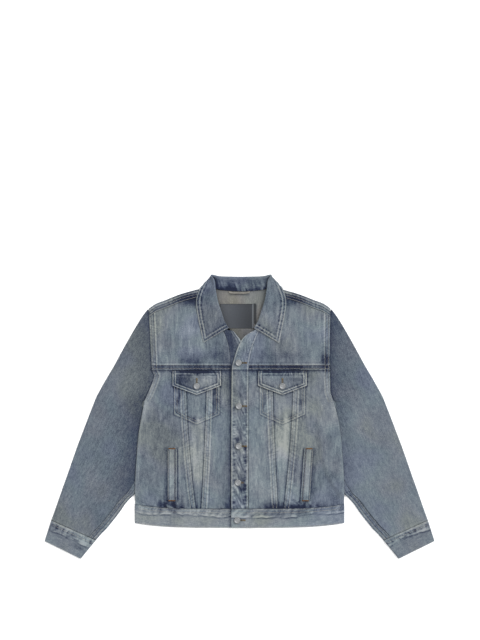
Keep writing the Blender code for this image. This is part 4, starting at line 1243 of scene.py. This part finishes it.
def back_yoke(node, finish):
    """From the back panel up to the neck seam, and over each shoulder to its seam in front."""
    columns = 227
    top_x = np.linspace(-SHOULDER["x"][-1], SHOULDER["x"][-1], columns)
    in_neck = np.abs(top_x - NECK_SHIFT) < NECK_HALF
    shoulder_y = curve(np.abs(top_x), SHOULDER["x"], SHOULDER["y"])
    fold_y = shoulder_y - (WALL + FRONT_Z - BACK_Z) / 2
    top_y = np.where(in_neck, NECK_SEAM_Y, fold_y)
    share = spaced(0, 1, YOKE_PITCH / (NECK_SEAM_Y - BACK_YOKE_Y))[:, None]
    y = BACK_YOKE_Y * (1 - share) + top_y * share
    x = top_x * side_x(y, top_x) / side_x(SHOULDER["y"][-1])
    lower = with_z(x, y, BACK_Z + lift(x, y))
    seam_end, seam_y = shoulder_seam(top_x)
    share = spaced(0, 1, BAND_PITCH / SHOULDER_WRAP)[:, None]
    strip_x = x[-1] * (1 - share) + seam_end * share
    strip_y = y[-1] * (1 - share) + (seam_y + SEAM_GAP / 2) * share
    d = strip_y - seam_y
    rise, worn = felled(d, strip_x, 81, "shoulder")
    rise = rise * step(-SHOULDER_WRAP, -14, -d) + billow(strip_x, strip_y, 3)
    strip = with_z(strip_x, strip_y, front_z(strip_x, strip_y, -1) + rise)
    out, z = half_turn(strip[0, :, 2], lower[-1, :, 2])
    turn = with_z(x[-1] + 0 * out.T, y[-1] + out.T, z.T)[::-1]
    points = np.concatenate([lower, turn[1:], strip[1:]])
    inner = 0.78 + 0.07 * noise(x, y, (7, 60), 83) - 0.16 * bell(NECK_SEAM_Y - y, 7)
    # painted shadow beside the label's right end, and painted shade below the label, deep in the neck
    beside = bell(x - LABEL["x"][1] - 3.5, 3) * step(-4, 0, y - LABEL["y"][0] - 14)
    inner = inner - 1.5 * beside * step(-2, 2, LABEL["y"][1] - y) - 0.40 * step(-4, 3, LABEL["y"][0] - y)
    # painted shadow under the hanger loop
    inner = inner - 0.5 * bell(y - 304.2, 2.2) * step(-30, -22, -np.abs(x + 1))
    inner = inner - 0.22 * step(38, 62, np.abs(x - NECK_SHIFT))
    upper = FADE["yoke"] + worn + cloudy(strip_x, strip_y, 161) + spots(strip_x, strip_y)
    outside = FADE["back"] + cloudy(x, y, 161)
    share = np.linspace(0, 1, len(turn) + 1)[1:-1, None]
    turned = outside[-1:] * (1 - share) + upper[:1] * share
    fade = np.concatenate([outside, turned, upper[1:]])
    inner = np.concatenate([inner, np.repeat(inner[-1:], len(fade) - len(inner), 0)])
    keep = np.ones((len(points) - 1, columns - 1), bool)
    keep[len(lower) - 1 :, in_neck[:-1] | in_neck[1:]] = False
    cloth = pair(points[..., 0], np.cumsum(0 * fade + 2.5, axis=0))
    return cloth_piece(node, points, fade, cloth, WALL, finish, up=False, keep=keep, inside=inner)


def waistband_back(node, finish):
    """The back length of the waistband, between the ends of the front ones."""
    half = HALF_WAIST - SIDE_RETURN - SEAM_GAP
    y, x = grid(spaced(HEM_Y, WAIST_Y - SEAM_GAP, COARSE), spaced(-half, half, COARSE))
    points = with_z(x, y + hem_drop(x), BAND_BACK_Z + 0 * x)
    return cloth_piece(node, points, FADE["band"], pair(y, x), BAND, finish, up=False)


def band_z(x, side):
    """Height of a front length of the waistband, without its relief."""
    return BAND_FRONT_Z + (BAND_LAP_RISE * lap(x) if side > 0 else 0)


def waistband_front(node, side, finish):
    """A front length of the waistband, wrapped round the side to its end under the back."""
    end = HALF_WAIST - (BAND_FRONT_Z + 0.6 - BAND_BACK_Z) / 2 - BAND / 2
    y, a = grid(spaced(HEM_Y, WAIST_Y - SEAM_GAP, 1.5), spaced(-PLACKET_HALF, end, BAND_PITCH))
    rise, worn = band_field(side * a, WAIST_Y - SEAM_GAP - y, 91 + side)
    z = band_z(side * a, side) + rise
    back_x = side * (HALF_WAIST - SIDE_RETURN)
    shares = (0.5, 1)
    x, y, z, worn = wrapped(
        side, side * a, y, z, worn, back_x, lambda x, y: BAND_BACK_Z + 0 * x, shares
    )
    points = with_z(x, y + hem_drop(x), z)
    fade = FADE["band"] + worn + 0.10 * bell(y - HEM_Y, 2) + 0.3 * spots(x, y + 14)
    for seam in (INNER_SEAM_X[0], INNER_SEAM_X[0] - 9, OUTER_SEAM_X[0], OUTER_SEAM_X[0] + 11):
        fade = fade - 0.16 * bell(np.abs(x) - seam, 1.5) * (1 - step(8, 16, WAIST_Y - y))
    if side < 0:
        # painted shade of the placket that laps over the band
        fade = fade - 0.34 * np.exp(-np.maximum(-x - LAP_FULL_X + 2, 0) / 7) * (x < -20)
    cloth = pair(y + 300, side * run_across(points))
    return cloth_piece(node, points, fade, cloth, BAND, finish)


# Sleeves


def sleeve_sections(count, side):
    """Outer and inner end of each section across the sleeve, and where its edge is folded."""
    table = rows_at(SLEEVE_ROWS, np.linspace(0, len(SLEEVE_ROWS) - 1, count))
    y = table[:, 2]
    hidden = side_x(y, side) - np.interp(y, SLEEVE_UNDER["y"], SLEEVE_UNDER["width"])
    seen = np.interp(y, SLEEVE_INNER["y"], SLEEVE_INNER["x"])
    x = np.where(y > SLEEVE_INNER["y"][-1], hidden, seen)
    x = np.where(y >= ARMHOLE_END_Y, side_x(y, side) + ARMHOLE_GAP, x)
    return table[:, :2], np.stack([x, y], axis=1), y <= ARMHOLE_END_Y


def across_section(side, outer, inner, distances, z):
    """Points at the given distances from the outer end of each section, at heights z."""
    width = np.linalg.norm(inner - outer, axis=1)[:, None]
    plan = outer[:, None] + (inner - outer)[:, None] * (distances / width)[..., None]
    return np.stack([side * plan[..., 0], plan[..., 1], z + 0 * distances], axis=-1)


def fold(z_from, z_to, wall):
    """Distances in from a fold's edge, and heights, round from its upper to its lower side."""
    out, z = half_turn(z_from, z_to)
    return (z_from - z_to + wall) / 2 - out, z


def crease_height(x, y):
    """Soft ridges: each falls off across its line as a bell, and towards its ends."""
    height = np.zeros_like(x)
    for x0, y0, x1, y1, half, crest in SLEEVE_CREASES:
        length = math.hypot(x1 - x0, y1 - y0)
        ux, uy = (x1 - x0) / length, (y1 - y0) / length
        s = ((x - x0) * ux + (y - y0) * uy) / length
        d = (y - y0) * ux - (x - x0) * uy
        height += crest * bell(d, half) * np.exp(-(((s - 0.5) / 0.5) ** 4))
    return height


def sleeve_relief(x, y, from_edge, side):
    """Creases, broad unevenness and the dome of a sleeve, all flat under the body's side."""
    beside = np.abs(x) - side_x(y, side)
    clear = np.where(y > ARMHOLE_END_Y, step(0, 12, beside), step(1, 32, beside))
    soft = crease_height(np.abs(x), y) + 0.7 * billow(x, y, 5 + side)
    return clear * step(0, 26, from_edge) * (SLEEVE_DOME + soft)


def sleeve_cloth(points):
    """Cloth coordinates with the warp along the sleeve."""
    x, y = points[..., 0], points[..., 1]
    c, s = cos_sin(SLEEVE_BEARING)
    a = np.abs(x)
    return pair(np.sign(x) * (a * s + y * c) + 40, y * s - a * c)


def sleeve_fade(x, y, side):
    """Mostly even; darker beside the body, partly painted shade of the body's edge and partly indigo
    kept there; darker where the armhole's seam is pressed.
    """
    near = np.abs(x) - side_x(y, side)
    if side > 0:
        shade = 0.03 * bell(near, 60) + 0.12 * bell(near, 24) + 0.19 * bell(near, 68) * step(-20, 90, y)
    else:
        shade = (0.17 - 0.08 * step(0, 110, y)) * bell(near, 64) + 0.12 * bell(near, 28)
    seam = np.where(y > ARMHOLE_END_Y, 0.14 * bell(near - 1.5, 2.5), 0)
    light = 0.07 if side > 0 else 0
    return FADE["sleeve"] + light + 0.05 * noise(x, y, (60, 80), 7 + side) - shade - seam


def sleeve(side, top_node, under_node, finish):
    """The top sleeve wraps under at its outer edge, the under sleeve comes up at its inner."""
    outer, inner, folded = sleeve_sections(SLEEVE_COUNT, side)
    width = np.linalg.norm(inner - outer, axis=1)[:, None]
    turn, turn_z = fold(SLEEVE_TOP_Z, BACK_Z, WALL)
    reach = turn[0]
    underarm = np.interp(inner[:, 1:], (24, ARMHOLE_END_Y), (UNDERARM_RETURN, UNDERARM_START))
    underarm = np.where(folded[:, None], underarm, 0)
    start = width - underarm
    seam = np.minimum(TOP_SLEEVE_RETURN, width * TOP_SLEEVE_SHARE)
    flat = start + (reach - start) * spaced(0, 1, SLEEVE_PITCH / SLEEVE_WIDTH)
    back_run = reach + (seam - reach) * np.array((0.5, 1))
    distances = np.concatenate([flat, turn[1:] + 0 * width, back_run], axis=1)
    z = np.concatenate([np.full(flat.shape[1], SLEEVE_TOP_Z), turn_z[1:], [BACK_Z] * 2])
    top = across_section(side, outer, inner, distances, z)
    x, y = top[..., 0], top[..., 1]
    upper = z >= SLEEVE_TOP_Z
    from_cuff = np.linalg.norm(inner - inner[-1], axis=1)[:, None]
    relief = sleeve_relief(x, y, distances - reach, side) * (0.2 + 0.8 * step(0, 30, from_cuff))
    top[..., 2] += upper * relief
    fade = sleeve_fade(x, y, side)
    fade = fade - 0.10 * bell(start - distances + 1.2, 2) * (inner[:, 1:] < -190)
    # painted light at the sleeve's end, evening out the shade where it meets the cuff
    fade = fade + 0.12 * bell(from_cuff, 5)
    cloth_piece(top_node, top, fade, sleeve_cloth(top), WALL, finish)

    first = seam + SEAM_GAP
    end = np.where(folded[:, None], width - reach, width)
    flat = first + (end - first) * spaced(0, 1, COARSE / 150)
    round_it = np.where(folded[:, None], width - turn[::-1], end)
    last = width - np.maximum(underarm, UNDERARM_START) + SEAM_GAP
    strip = round_it[:, -1:] + (last - round_it[:, -1:]) * spaced(0, 1, 0.11)[1:]
    distances = np.concatenate([flat[:, :-1], round_it, strip], axis=1)
    rising = [SLEEVE_TOP_Z] * strip.shape[1]
    z = np.concatenate([np.full(flat.shape[1] - 1, BACK_Z), turn_z[::-1], rising])
    under = across_section(side, outer, inner, distances, z)
    from_seam = distances - last
    rise, worn = felled(from_seam, under[..., 1], 111 + side, "underarm")
    shown = (z >= SLEEVE_TOP_Z) & (from_seam >= 0) & (inner[:, 1:] < -185)
    fold_in = step(0, 6, width - distances - reach)
    under[..., 2] += shown * fold_in * 0.7 * np.maximum(rise, 0)
    fade = FADE["sleeve"] + shown * worn
    keep = np.ones((len(outer) - 1, distances.shape[1] - 1), bool)
    keep[: folded.argmax(), flat.shape[1] - 1 :] = False
    cloth_piece(under_node, under, fade, sleeve_cloth(under), WALL, finish, up=False, keep=keep)
    rows = inner[:, 1] < -198
    lines = []
    for row in STITCH_ROWS:
        place = across_section(side, outer[rows], inner[rows], last[rows] + row, SLEEVE_TOP_Z + WALL / 2)
        lines.append(place[:, 0] + (0, 0, 0.75))
    return lines


def cuff_field(along, down, side):
    """A cuff: puffed beads between its upper rows, with dark hollows, over an even part."""
    rise, worn = band_field(along + 200 * side, down, 131 + side)
    turn = TURN * along / 14 + 4 * noise(along, down, (40, 14), 151 + side)
    bead = np.sin(turn + 0.12 * down) * (0.7 + 0.3 * noise(along, down, (17, 9), 153))
    # the pale mark at the top edge is painted light, evening out the shade where the sleeve's end meets
    # the cuff
    rows = marks(down, (0, 3.5, 0.48), (3.5, 2.4, 0.12), (14.5, 2.4, 0.16))
    fine = 0.22 * streaks(along, down, 75, (3, 9), 155) * bell(down - 9, 9)
    hollow = 0.40 * step(0.1, 0.9, bead) * bell(down - 9, 4.5)
    under = 0.20 * dashes(along, down, 157) * bell(down - 19, 2.5)
    return rise + 0.5 * bead * bell(down - 9, 6), worn + rows + fine - hollow - under


def cuff(node, side, finish):
    """A flattened ring between the sleeve's end and the cuff's hem."""
    a, b, c, d = (np.array(p) for p in CUFF_CORNERS)
    share = spaced(0, 1, CUFF_PITCH[0] / CUFF_DEPTH)[:, None]
    outer, inner = a * (1 - share) + d * share, b * (1 - share) + c * share
    width = np.linalg.norm(inner - outer, axis=1)[:, None]
    turn, turn_z = fold(CUFF_TOP_Z, BAND_BACK_Z, BAND)
    middle = turn[0] + (width - 2 * turn[0]) * spaced(0, 1, CUFF_PITCH[1] / CUFF_WIDTH)[1:-1]
    under = turn[0] + (width - 2 * turn[0]) * np.array((0.25, 0.5, 0.75))
    around = [turn[::-1] + 0 * width, middle, width - turn, under[:, ::-1]]
    distances = np.concatenate(around, axis=1)
    top, low = [CUFF_TOP_Z] * middle.shape[1], [BAND_BACK_Z] * 3
    z = np.concatenate([turn_z[::-1], top, turn_z, low])
    points = across_section(side, outer, inner, distances, z)
    down = CUFF_DEPTH * share + 0 * distances
    rise, worn = cuff_field(distances, down, side)
    upper = (z - BAND_BACK_Z) / (CUFF_TOP_Z - BAND_BACK_Z)
    points[..., 2] += step(0.4, 1, upper) * (rise + 0.2)
    fade = FADE["cuff"] + worn * upper + 0.12 * bell(down - CUFF_DEPTH + 1, 2)
    fade = fade + upper * spots(points[..., 0], points[..., 1])
    cloth = pair(down + 600, run_across(points))
    cloth_piece(node, points, fade, cloth, BAND, finish, ring=True)
    at = spaced(6, CUFF_WIDTH - 6, 3)[None]
    lines = []
    for down in (2.4, 8.6):
        k = down / CUFF_DEPTH
        ends = (a * (1 - k) + d * k)[None], (b * (1 - k) + c * k)[None]
        place = across_section(side, *ends, at, CUFF_TOP_Z + BAND / 2 + 0.35)[0]
        place[:, 2] += cuff_field(at[0], 0 * at[0] + down, side)[0]
        lines.append(place)
    return lines


# Collar and trims


def collar(node, finish):
    """One strip from front end to front end: leaf, roll and stand, section by section."""
    half = spline(COLLAR_SECTIONS, COLLAR_COUNT)
    roll, edge, neck = half[:, 0:3], half[:, 5:8], half[:, 8:11]
    bearing, tilt = np.radians(half[:, 3:4]), np.radians(half[:, 4:5])
    outward = np.concatenate([np.cos(bearing), np.sin(bearing), 0 * bearing], axis=1)
    up = np.array((0, 0, 1.0))
    apart = np.cos(tilt) * outward + np.sin(tilt) * up
    crown = np.cos(tilt) * up - np.sin(tilt) * outward
    angle = np.linspace(0, math.pi, TURN_COUNT)[None, :, None]
    turn = np.cos(angle) * apart[:, None] + np.sin(angle) * crown[:, None]
    turn = roll[:, None] + ROLL_RADIUS * turn
    leaf = hermite(edge, turn[:, 0], turn[:, 0] - edge, crown, LEAF_COUNT)
    stand = hermite(turn[:, -1], neck, -crown, neck - turn[:, -1], STAND_COUNT)
    half = np.concatenate([leaf[:, :-1], turn, stand[:, 1:]], axis=1)
    half[..., 2] = np.maximum(half[..., 2], PLY / 2)
    points = np.concatenate([half, half[-2::-1] * (-1, 1, 1)])
    points[..., 0] += NECK_SHIFT
    d = run_across(points)
    s = run_across(points.transpose(1, 0, 2)).T
    s = np.minimum(s, s[-1:] - s)
    last = LEAF_COUNT - 2
    roll_last = last + TURN_COUNT + 1
    leaf_end, roll_end = d[:, last : last + 1], d[:, roll_last : roll_last + 1]
    x, y = points[..., 0], points[..., 1]
    on_leaf = step(-6, 0, leaf_end - d)
    nearest = np.where(on_leaf > 0, np.minimum(d, s), 99)
    along = np.where(d < s, s, d) + 0.2 * x
    wave = ripples(along, nearest, 7, 121) * bell(nearest - 5, 9)
    groove = bell(nearest - COLLAR_ROWS[0], 1.0) + bell(nearest - COLLAR_ROWS[1], 1.2)
    shown = step(5, 7, points[..., 2])
    points[..., 2] += shown * on_leaf * (0.35 * wave - 0.22 * groove + 0.35 * noise(x, y, (26, 34), 9))
    pinch = dashes(along, nearest, 127)
    edges = 0.36 * bell(nearest - 0.2, 1.9) + 0.30 * bell(nearest - COLLAR_ROWS[1], 1.7)
    edges = edges * (1.1 - 0.6 * pinch)
    grooves = 0.16 * bell(nearest - 4.8, 1.8) + 0.14 * bell(nearest - 12.6, 2.2)
    pinched = pinch * (0.64 * bell(nearest - 5.0, 2.2) + 0.54 * bell(nearest - 12.4, 2.8))
    ridge, vein = crumples(x, y, (14, 20), 131)
    soft = 0.14 * wave + 0.06 * ridge - 0.08 * vein * step(8, 16, nearest) + cloudy(x, y, 181)
    fade = FADE["collar"] + on_leaf * (edges - grooves - pinched + soft)
    fade = fade + on_leaf * (0.08 * step(-30, 30, x) - 0.02)
    fade = fade + 0.06 * bell(d - (leaf_end + roll_end) / 2, 3)
    inner = step(0, 4, d - roll_end)
    seam = d[:, -1:] - d
    crimp = 1.3 * noise(x + 0.3 * seam, seam, (3.6, 16), 125) + noise(x, seam, (13, 30), 129)
    # painted shade in the collar's corners, where the stand turns from the back to the front
    corners = 0.34 * bell(np.abs(x - NECK_SHIFT) - 70, 12)
    shut = 0.36 * bell(seam, 8) * step(225, 262, y)
    fade = fade - inner * (0.15 + shut + corners - 0.34 * crimp * bell(seam - 4, 18))
    cloth = pair(d + 900, s * np.sign(x - NECK_SHIFT))
    cloth_piece(node, points, fade + 0.6 * spots(x, y) * on_leaf, cloth, PLY, finish)
    lines = []
    top = points + (0, 0, PLY / 2 + 0.1)
    centre = len(top) // 2
    for order in (np.arange(centre), np.arange(len(top) - 1, centre, -1)):
        at, from_edge, from_end = top[order], d[order], s[order]
        for row in COLLAR_ROWS:
            sections = [k for k in range(centre) if from_end[k, 5] > row]
            columns = [j for j in range(last) if from_edge[0, j] > row]
            outer = [[np.interp(row, from_edge[k], at[k, :, i]) for i in range(3)] for k in sections]
            front = [[np.interp(row, from_end[:, j], at[:, j, i]) for i in range(3)] for j in columns]
            lines += [[p for p in line if p[2] > COLLAR_SHOWN_Z] for line in (outer, front)]
    return lines


def neck_label(finish):
    """The blank label, flat on the back yoke, and paler along its right end."""
    y, x = grid(spaced(*LABEL["y"], 1.5), spaced(*LABEL["x"], 1.2))
    z = BACK_Z + lift(x, y) + WALL / 2 + LAYER_GAP + LABEL["wall"] / 2
    fade = 0.62 - 0.34 * step(-30, 32, x) - 0.14 * step(-20, 60, LABEL["y"][1] - y)
    fade = fade - 0.25 * bell(LABEL["y"][1] - y, 1.6) + 0.90 * bell(x - LABEL["x"][1] + 1.8, 1.6)
    cloth = pair(x, y)
    cloth_piece("neck_label", with_z(x, y, z), fade, cloth, LABEL["wall"], finish)


def hanger_loop(finish):
    """A tape with both ends on the back yoke, arched a little between them."""
    share, across = grid(np.linspace(0, 1, 33), np.linspace(-0.5, 0.5, 5))
    x = LOOP["x"][0] + (LOOP["x"][1] - LOOP["x"][0]) * share
    y = LOOP["y"] + LOOP["width"] * across + 3.5 * np.abs(2 * share - 1) ** 5
    arch = LOOP["arch"] * np.sin(math.pi * share) ** 2
    z = BACK_Z + lift(x, y) + WALL / 2 + LAYER_GAP + LOOP["wall"] / 2 + arch
    cloth = pair(y, x)
    cloth_piece(
        "hanger_loop", with_z(x, y, z), 0.5, cloth, LOOP["wall"], finish
    )


def button(node, x, y, z, finish):
    """A shank button, turned: a raised rim round a dished face, over a narrow shank."""
    profile = spline(BUTTON_PROFILE, 34)
    angle = np.linspace(0, TURN, 49)[:-1]
    radius, height = profile[:, :1] * BUTTON_RADIUS, profile[:, 1:] * BUTTON_HEIGHT
    radius = np.maximum(radius, 0.01)
    points = with_z(x + radius * np.cos(angle), y + radius * np.sin(angle), z + height)
    faces = grid_faces(len(profile), len(angle), ring=True)[..., ::-1].reshape(-1, 4)
    piece = add_mesh(f"{node}_metal", points.reshape(-1, 3), faces, finish)
    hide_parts(node)


def on_front(x, y, side):
    """Points on a front's upper face, from their plan before the hem's sag."""
    z = front_z(x, y, side) + front_field(x, y, side)[0] + WALL / 2 + THREAD_SINK
    return on_body(x, y, z)


def pocket_row(side, corner_y, tip_y, inset, count):
    """A row round a pocket's sides and point, from one top corner to the other."""
    corners = pentagon(side, corner_y, tip_y, inset)
    return resample(corners[-1:] + corners[:-1], count).T


def front_lines(side):
    """Rows of stitches on a front: both seams, the yoke seam, the armhole and the pocket."""
    y = spaced(WAIST_Y + 1, YOKE_Y - 3, LINE_PITCH)
    arm = spaced(ARMHOLE_END_Y, SHOULDER["y"][-1] - SHOULDER_WRAP, LINE_PITCH)
    across = spaced(PANEL_START_X + 1, side_x(YOKE_Y, side) - 2, LINE_PITCH)
    plans = []
    for row in STITCH_ROWS:
        plans.append((seam_x(INNER_SEAM_X, y) - row, y))
        plans.append((seam_x(OUTER_SEAM_X, y) + row, y))
        plans.append((across, 0 * across + YOKE_Y + row))
        plans.append((side_x(arm, side) - row, arm))
    for row in POCKET_ROWS:
        low = BAG_CORNER_Y + 0.7 * row, BAG_TIP_Y + 1.1 * row
        plans.append(pocket_row(1, *low, POCKET_TUCK + row, 150))
    return [on_front(side * x, y, side) for x, y in plans]


def flap_lines(side):
    """Two rows round the flap's open edges."""
    lines = []
    for row in POCKET_ROWS:
        x, y = pocket_row(side, FLAP_CORNER_Y + 0.5 * row, FLAP_TIP_Y + 1.1 * row, row, 90)
        lines.append(with_z(x, y, flap_height(x, y, side) + BAND / 2 + THREAD_SINK))
    return lines


def welt_lines(side):
    """A row along each side of the welt."""
    y = spaced(WELT_Y[0] + 2, WELT_Y[1] - 2, 2)
    lines = []
    for a in (WELT_X[0] + 4.5, WELT_X[1] - 2):
        x = side * (a + welt_lean(y, side))
        z = welt_height(x, y, side) + WELT_WALL / 2 + THREAD_SINK
        lines.append(on_body(x, y, z))
    return lines


def placket_lines():
    """A row along each edge of the upper placket."""
    free, seam = placket_edges(1, 240)
    lines = []
    for share in (0.05, 0.93):
        x, y = (free * (1 - share) + seam * share).T
        rise = placket_field(PLACKET_HALF * (2 * share - 1) + 0 * x, y)[0]
        lines.append(on_body(x, y, placket_z(x, y, 1) + rise + PLY / 2 + THREAD_SINK))
    return lines


def band_lines(side):
    """Rows along the waistband's sewn edge and its hem."""
    x = side * spaced(2 - PLACKET_HALF, HALF_WAIST - 10, LINE_PITCH)
    lines = []
    for down in (2.2, 9.5, WAIST_Y - HEM_Y - 2.4):
        z = band_z(x, side) + band_field(x, down + 0 * x, 91 + side)[0] + BAND / 2
        lines.append(with_z(x, WAIST_Y - SEAM_GAP - down + hem_drop(x), z + THREAD_SINK))
    return lines


def shoulder_lines():
    """Three rows on the shoulder's strip, on each side of the neck."""
    lines = []
    for side in (1, -1):
        top_x = side * spaced(FRONT_SHOULDER_X + 3, SHOULDER["x"][-1] - 1, 2)
        x, seam = shoulder_seam(top_x)
        for row in SHOULDER_ROWS:
            y = seam + row
            rise = felled(row + 0 * x, x, 81, "shoulder")[0] + billow(x, y, 3)
            lines.append(with_z(x, y, front_z(x, y, -1) + rise + WALL / 2 + THREAD_SINK))
    return lines


def buttonhole(x, y, z, turn):
    """A worked hole: a ring of close stitches round a slot, each pointing outwards."""
    angle = np.linspace(0, TURN, HOLE_STITCHES, endpoint=False)
    c, s = cos_sin(turn)
    stitch = 0.48 * HOLE_WIDTH
    reach = (HOLE_WIDTH - stitch) / 2
    u = (HOLE_LENGTH - HOLE_WIDTH) / 2 * np.clip(1.6 * np.cos(angle), -1, 1) + reach * np.cos(angle)
    v = reach * np.sign(np.sin(angle)) * np.minimum(1, 1.6 * np.abs(np.sin(angle)))
    out_u, out_v = np.where(np.abs(np.cos(angle)) > 0.9, np.cos(angle), 0), np.sign(v)
    places = np.stack([x + u * c - v * s, y + u * s + v * c, z + 0 * u], axis=1)
    alongs = stitch * np.stack([out_u * c - out_v * s, out_u * s + out_v * c, 0 * u], axis=1)
    return places, alongs


def buttons(metal, thread):
    """The seven buttons, and beside each its buttonhole."""
    seats = []
    for number, (x, y) in enumerate(np.array(FRONT_BUTTONS, float), 1):
        if y < WAIST_Y:
            z = BAND_FRONT_Z + BAND_LAP_RISE + BAND / 2 + 0.5
        else:
            z = placket_z(x, y, 1) + placket_field(x, y)[0] + PLY / 2
        seats.append((f"front_button_{number}", x, y, z, (x + BUTTON_RADIUS + 5.5, y), 0))
    for side, word in ((-1, "right"), (1, "left")):
        x, y = np.array((side * POCKET_X, FLAP_BUTTON_Y), float)
        z = flap_height(x, y, side) + BAND / 2
        seats.append((f"flap_button_{word}", x, y, z, (x, y + BUTTON_RADIUS + 4.5), 90))
    holes = []
    for node, x, y, z, hole, turn in seats:
        button(node, x, y, z + LAYER_GAP, metal)
        holes.append(buttonhole(*hole, z + 0.35, turn))
    places, alongs = (np.concatenate(parts) for parts in zip(*holes))
    spindles("buttonholes", places, alongs, CLOSE_THREAD, thread)


def bar_tacks(thread):
    """Four short bars of close stitches, at both ends of each welt."""
    centres = []
    for side in (-1, 1):
        for y in (WELT_Y[0] - 0.5, WELT_Y[1] + 0.5):
            x = side * (sum(WELT_X) / 2 + 0.5 + welt_lean(y, side))
            z = welt_height(x, y, side) + WELT_WALL / 2 + 0.2
            centres.append(on_body(x, y, z))
    at = np.linspace(-BAR_LENGTH / 2, BAR_LENGTH / 2, BAR_STITCHES)[:, None] * (1, 0, 0)
    places = (np.array(centres)[:, None] + at).reshape(-1, 3)
    alongs = np.tile((0, BAR_WIDTH, 0), (len(places), 1))
    spindles("bar_tacks", places, alongs, CLOSE_THREAD, thread)


# Scene


def paper_floor():
    """A wide sheet of matt white paper, just under the jacket."""
    half, low = 6.0, -0.0005
    corners = [(-half, -half), (half, -half), (half, half), (-half, half)]
    mesh = bpy.data.meshes.new("floor")
    mesh.from_pydata([(x, y, low) for x, y in corners], [], [(0, 1, 2, 3)])
    paper, tree, shader = new_material("matt_white_paper", Roughness=1.0, Specular_IOR_Level=0.1)
    coloured(tree, shader, speckles(tree, 900.0), ((0.3, "#f6f6f6"), (0.7, "#fbfbfb")))
    mesh.materials.append(paper)
    floor = bpy.data.objects.new("floor", mesh)
    bpy.context.scene.collection.objects.link(floor)


def studio():
    """The floor, an even white sky, two wide soft suns, and a camera straight above."""
    paper_floor()
    scene = bpy.context.scene
    world = bpy.data.worlds.new("studio")
    world.use_nodes = True
    sky = world.node_tree.nodes["Background"].inputs
    sky["Color"].default_value, sky["Strength"].default_value = linear("#ffffff"), SKY
    scene.world = world
    for name, azimuth, elevation, strength, angle in SUNS:
        lamp = bpy.data.lights.new(name, "SUN")
        lamp.energy, lamp.angle = strength, math.radians(angle)
        light = bpy.data.objects.new(name, lamp)
        light.rotation_euler = (math.radians(90 - elevation), 0, math.radians(azimuth + 90))
        scene.collection.objects.link(light)

    data = bpy.data.cameras.new("camera")
    data.lens, data.sensor_width, data.clip_end = 85, 36, 50
    camera = bpy.data.objects.new("camera", data)
    camera.location = CAMERA
    scene.collection.objects.link(camera)
    scene.camera = camera
    scene.view_settings.view_transform = "Standard"


def main():
    """The studio and materials, the back, both sides in turn, then the middle."""
    studio()
    face = washed_denim("stone_washed_denim", DENIM_STOPS)
    reverse = washed_denim("undyed_reverse", REVERSE_STOPS, 0.7, "inside")
    single, doubled = (face, reverse), (face,)
    thread = cotton_thread("ecru_thread", "#8c8a82", "#aaa89e")
    brown = cotton_thread("tan_thread", "#46301d", "#6a4a2c")
    olive = cotton_thread("buttonhole_thread", "#4a3d22", "#6a5836")
    nickel, pocketing = cast_nickel(), pocket_cotton()

    back("back", single)
    back_yoke("back_yoke", single)
    waistband_back("waistband_back", doubled)
    neck_label(woven_label())
    hanger_loop(cotton_thread("cotton_tape", "#62605c", "#75726c"))
    for side, word in ((-1, "right"), (1, "left")):
        under = sleeve(side, f"top_sleeve_{word}", f"under_sleeve_{word}", single)
        cuff_rows = cuff(f"cuff_{word}", side, doubled)
        sewn(f"stitches_sleeve_{word}", under + cuff_rows, thread)
        front_yoke(f"front_yoke_{word}", side, single)
        for kind, edges in PANELS.items():
            front_panel(f"{kind}_{word}", side, edges, single)
        front_side(f"front_side_{word}", side, single)
        pocket_bag(f"pocket_bag_{word}", side, pocketing)
        flap(f"pocket_flap_{word}", side, doubled)
        welt(f"welt_{word}", side, doubled)
        waistband_front(f"waistband_front_{word}", side, doubled)
        cover = pentagon(side, FLAP_CORNER_Y, FLAP_TIP_Y)
        sewn(f"stitches_front_{word}", front_lines(side), thread, [cover])
        trims = flap_lines(side) + welt_lines(side) + band_lines(side)
        sewn(f"stitches_trims_{word}", trims, thread)
    placket("placket_under", -1, doubled)
    placket("placket_over", 1, doubled)
    buttons(nickel, olive)
    bar_tacks(brown)
    sewn("stitches_placket", placket_lines(), thread)
    sewn("stitches_collar", collar("collar", doubled), thread)
    sewn("stitches_shoulders", shoulder_lines(), thread)


main()
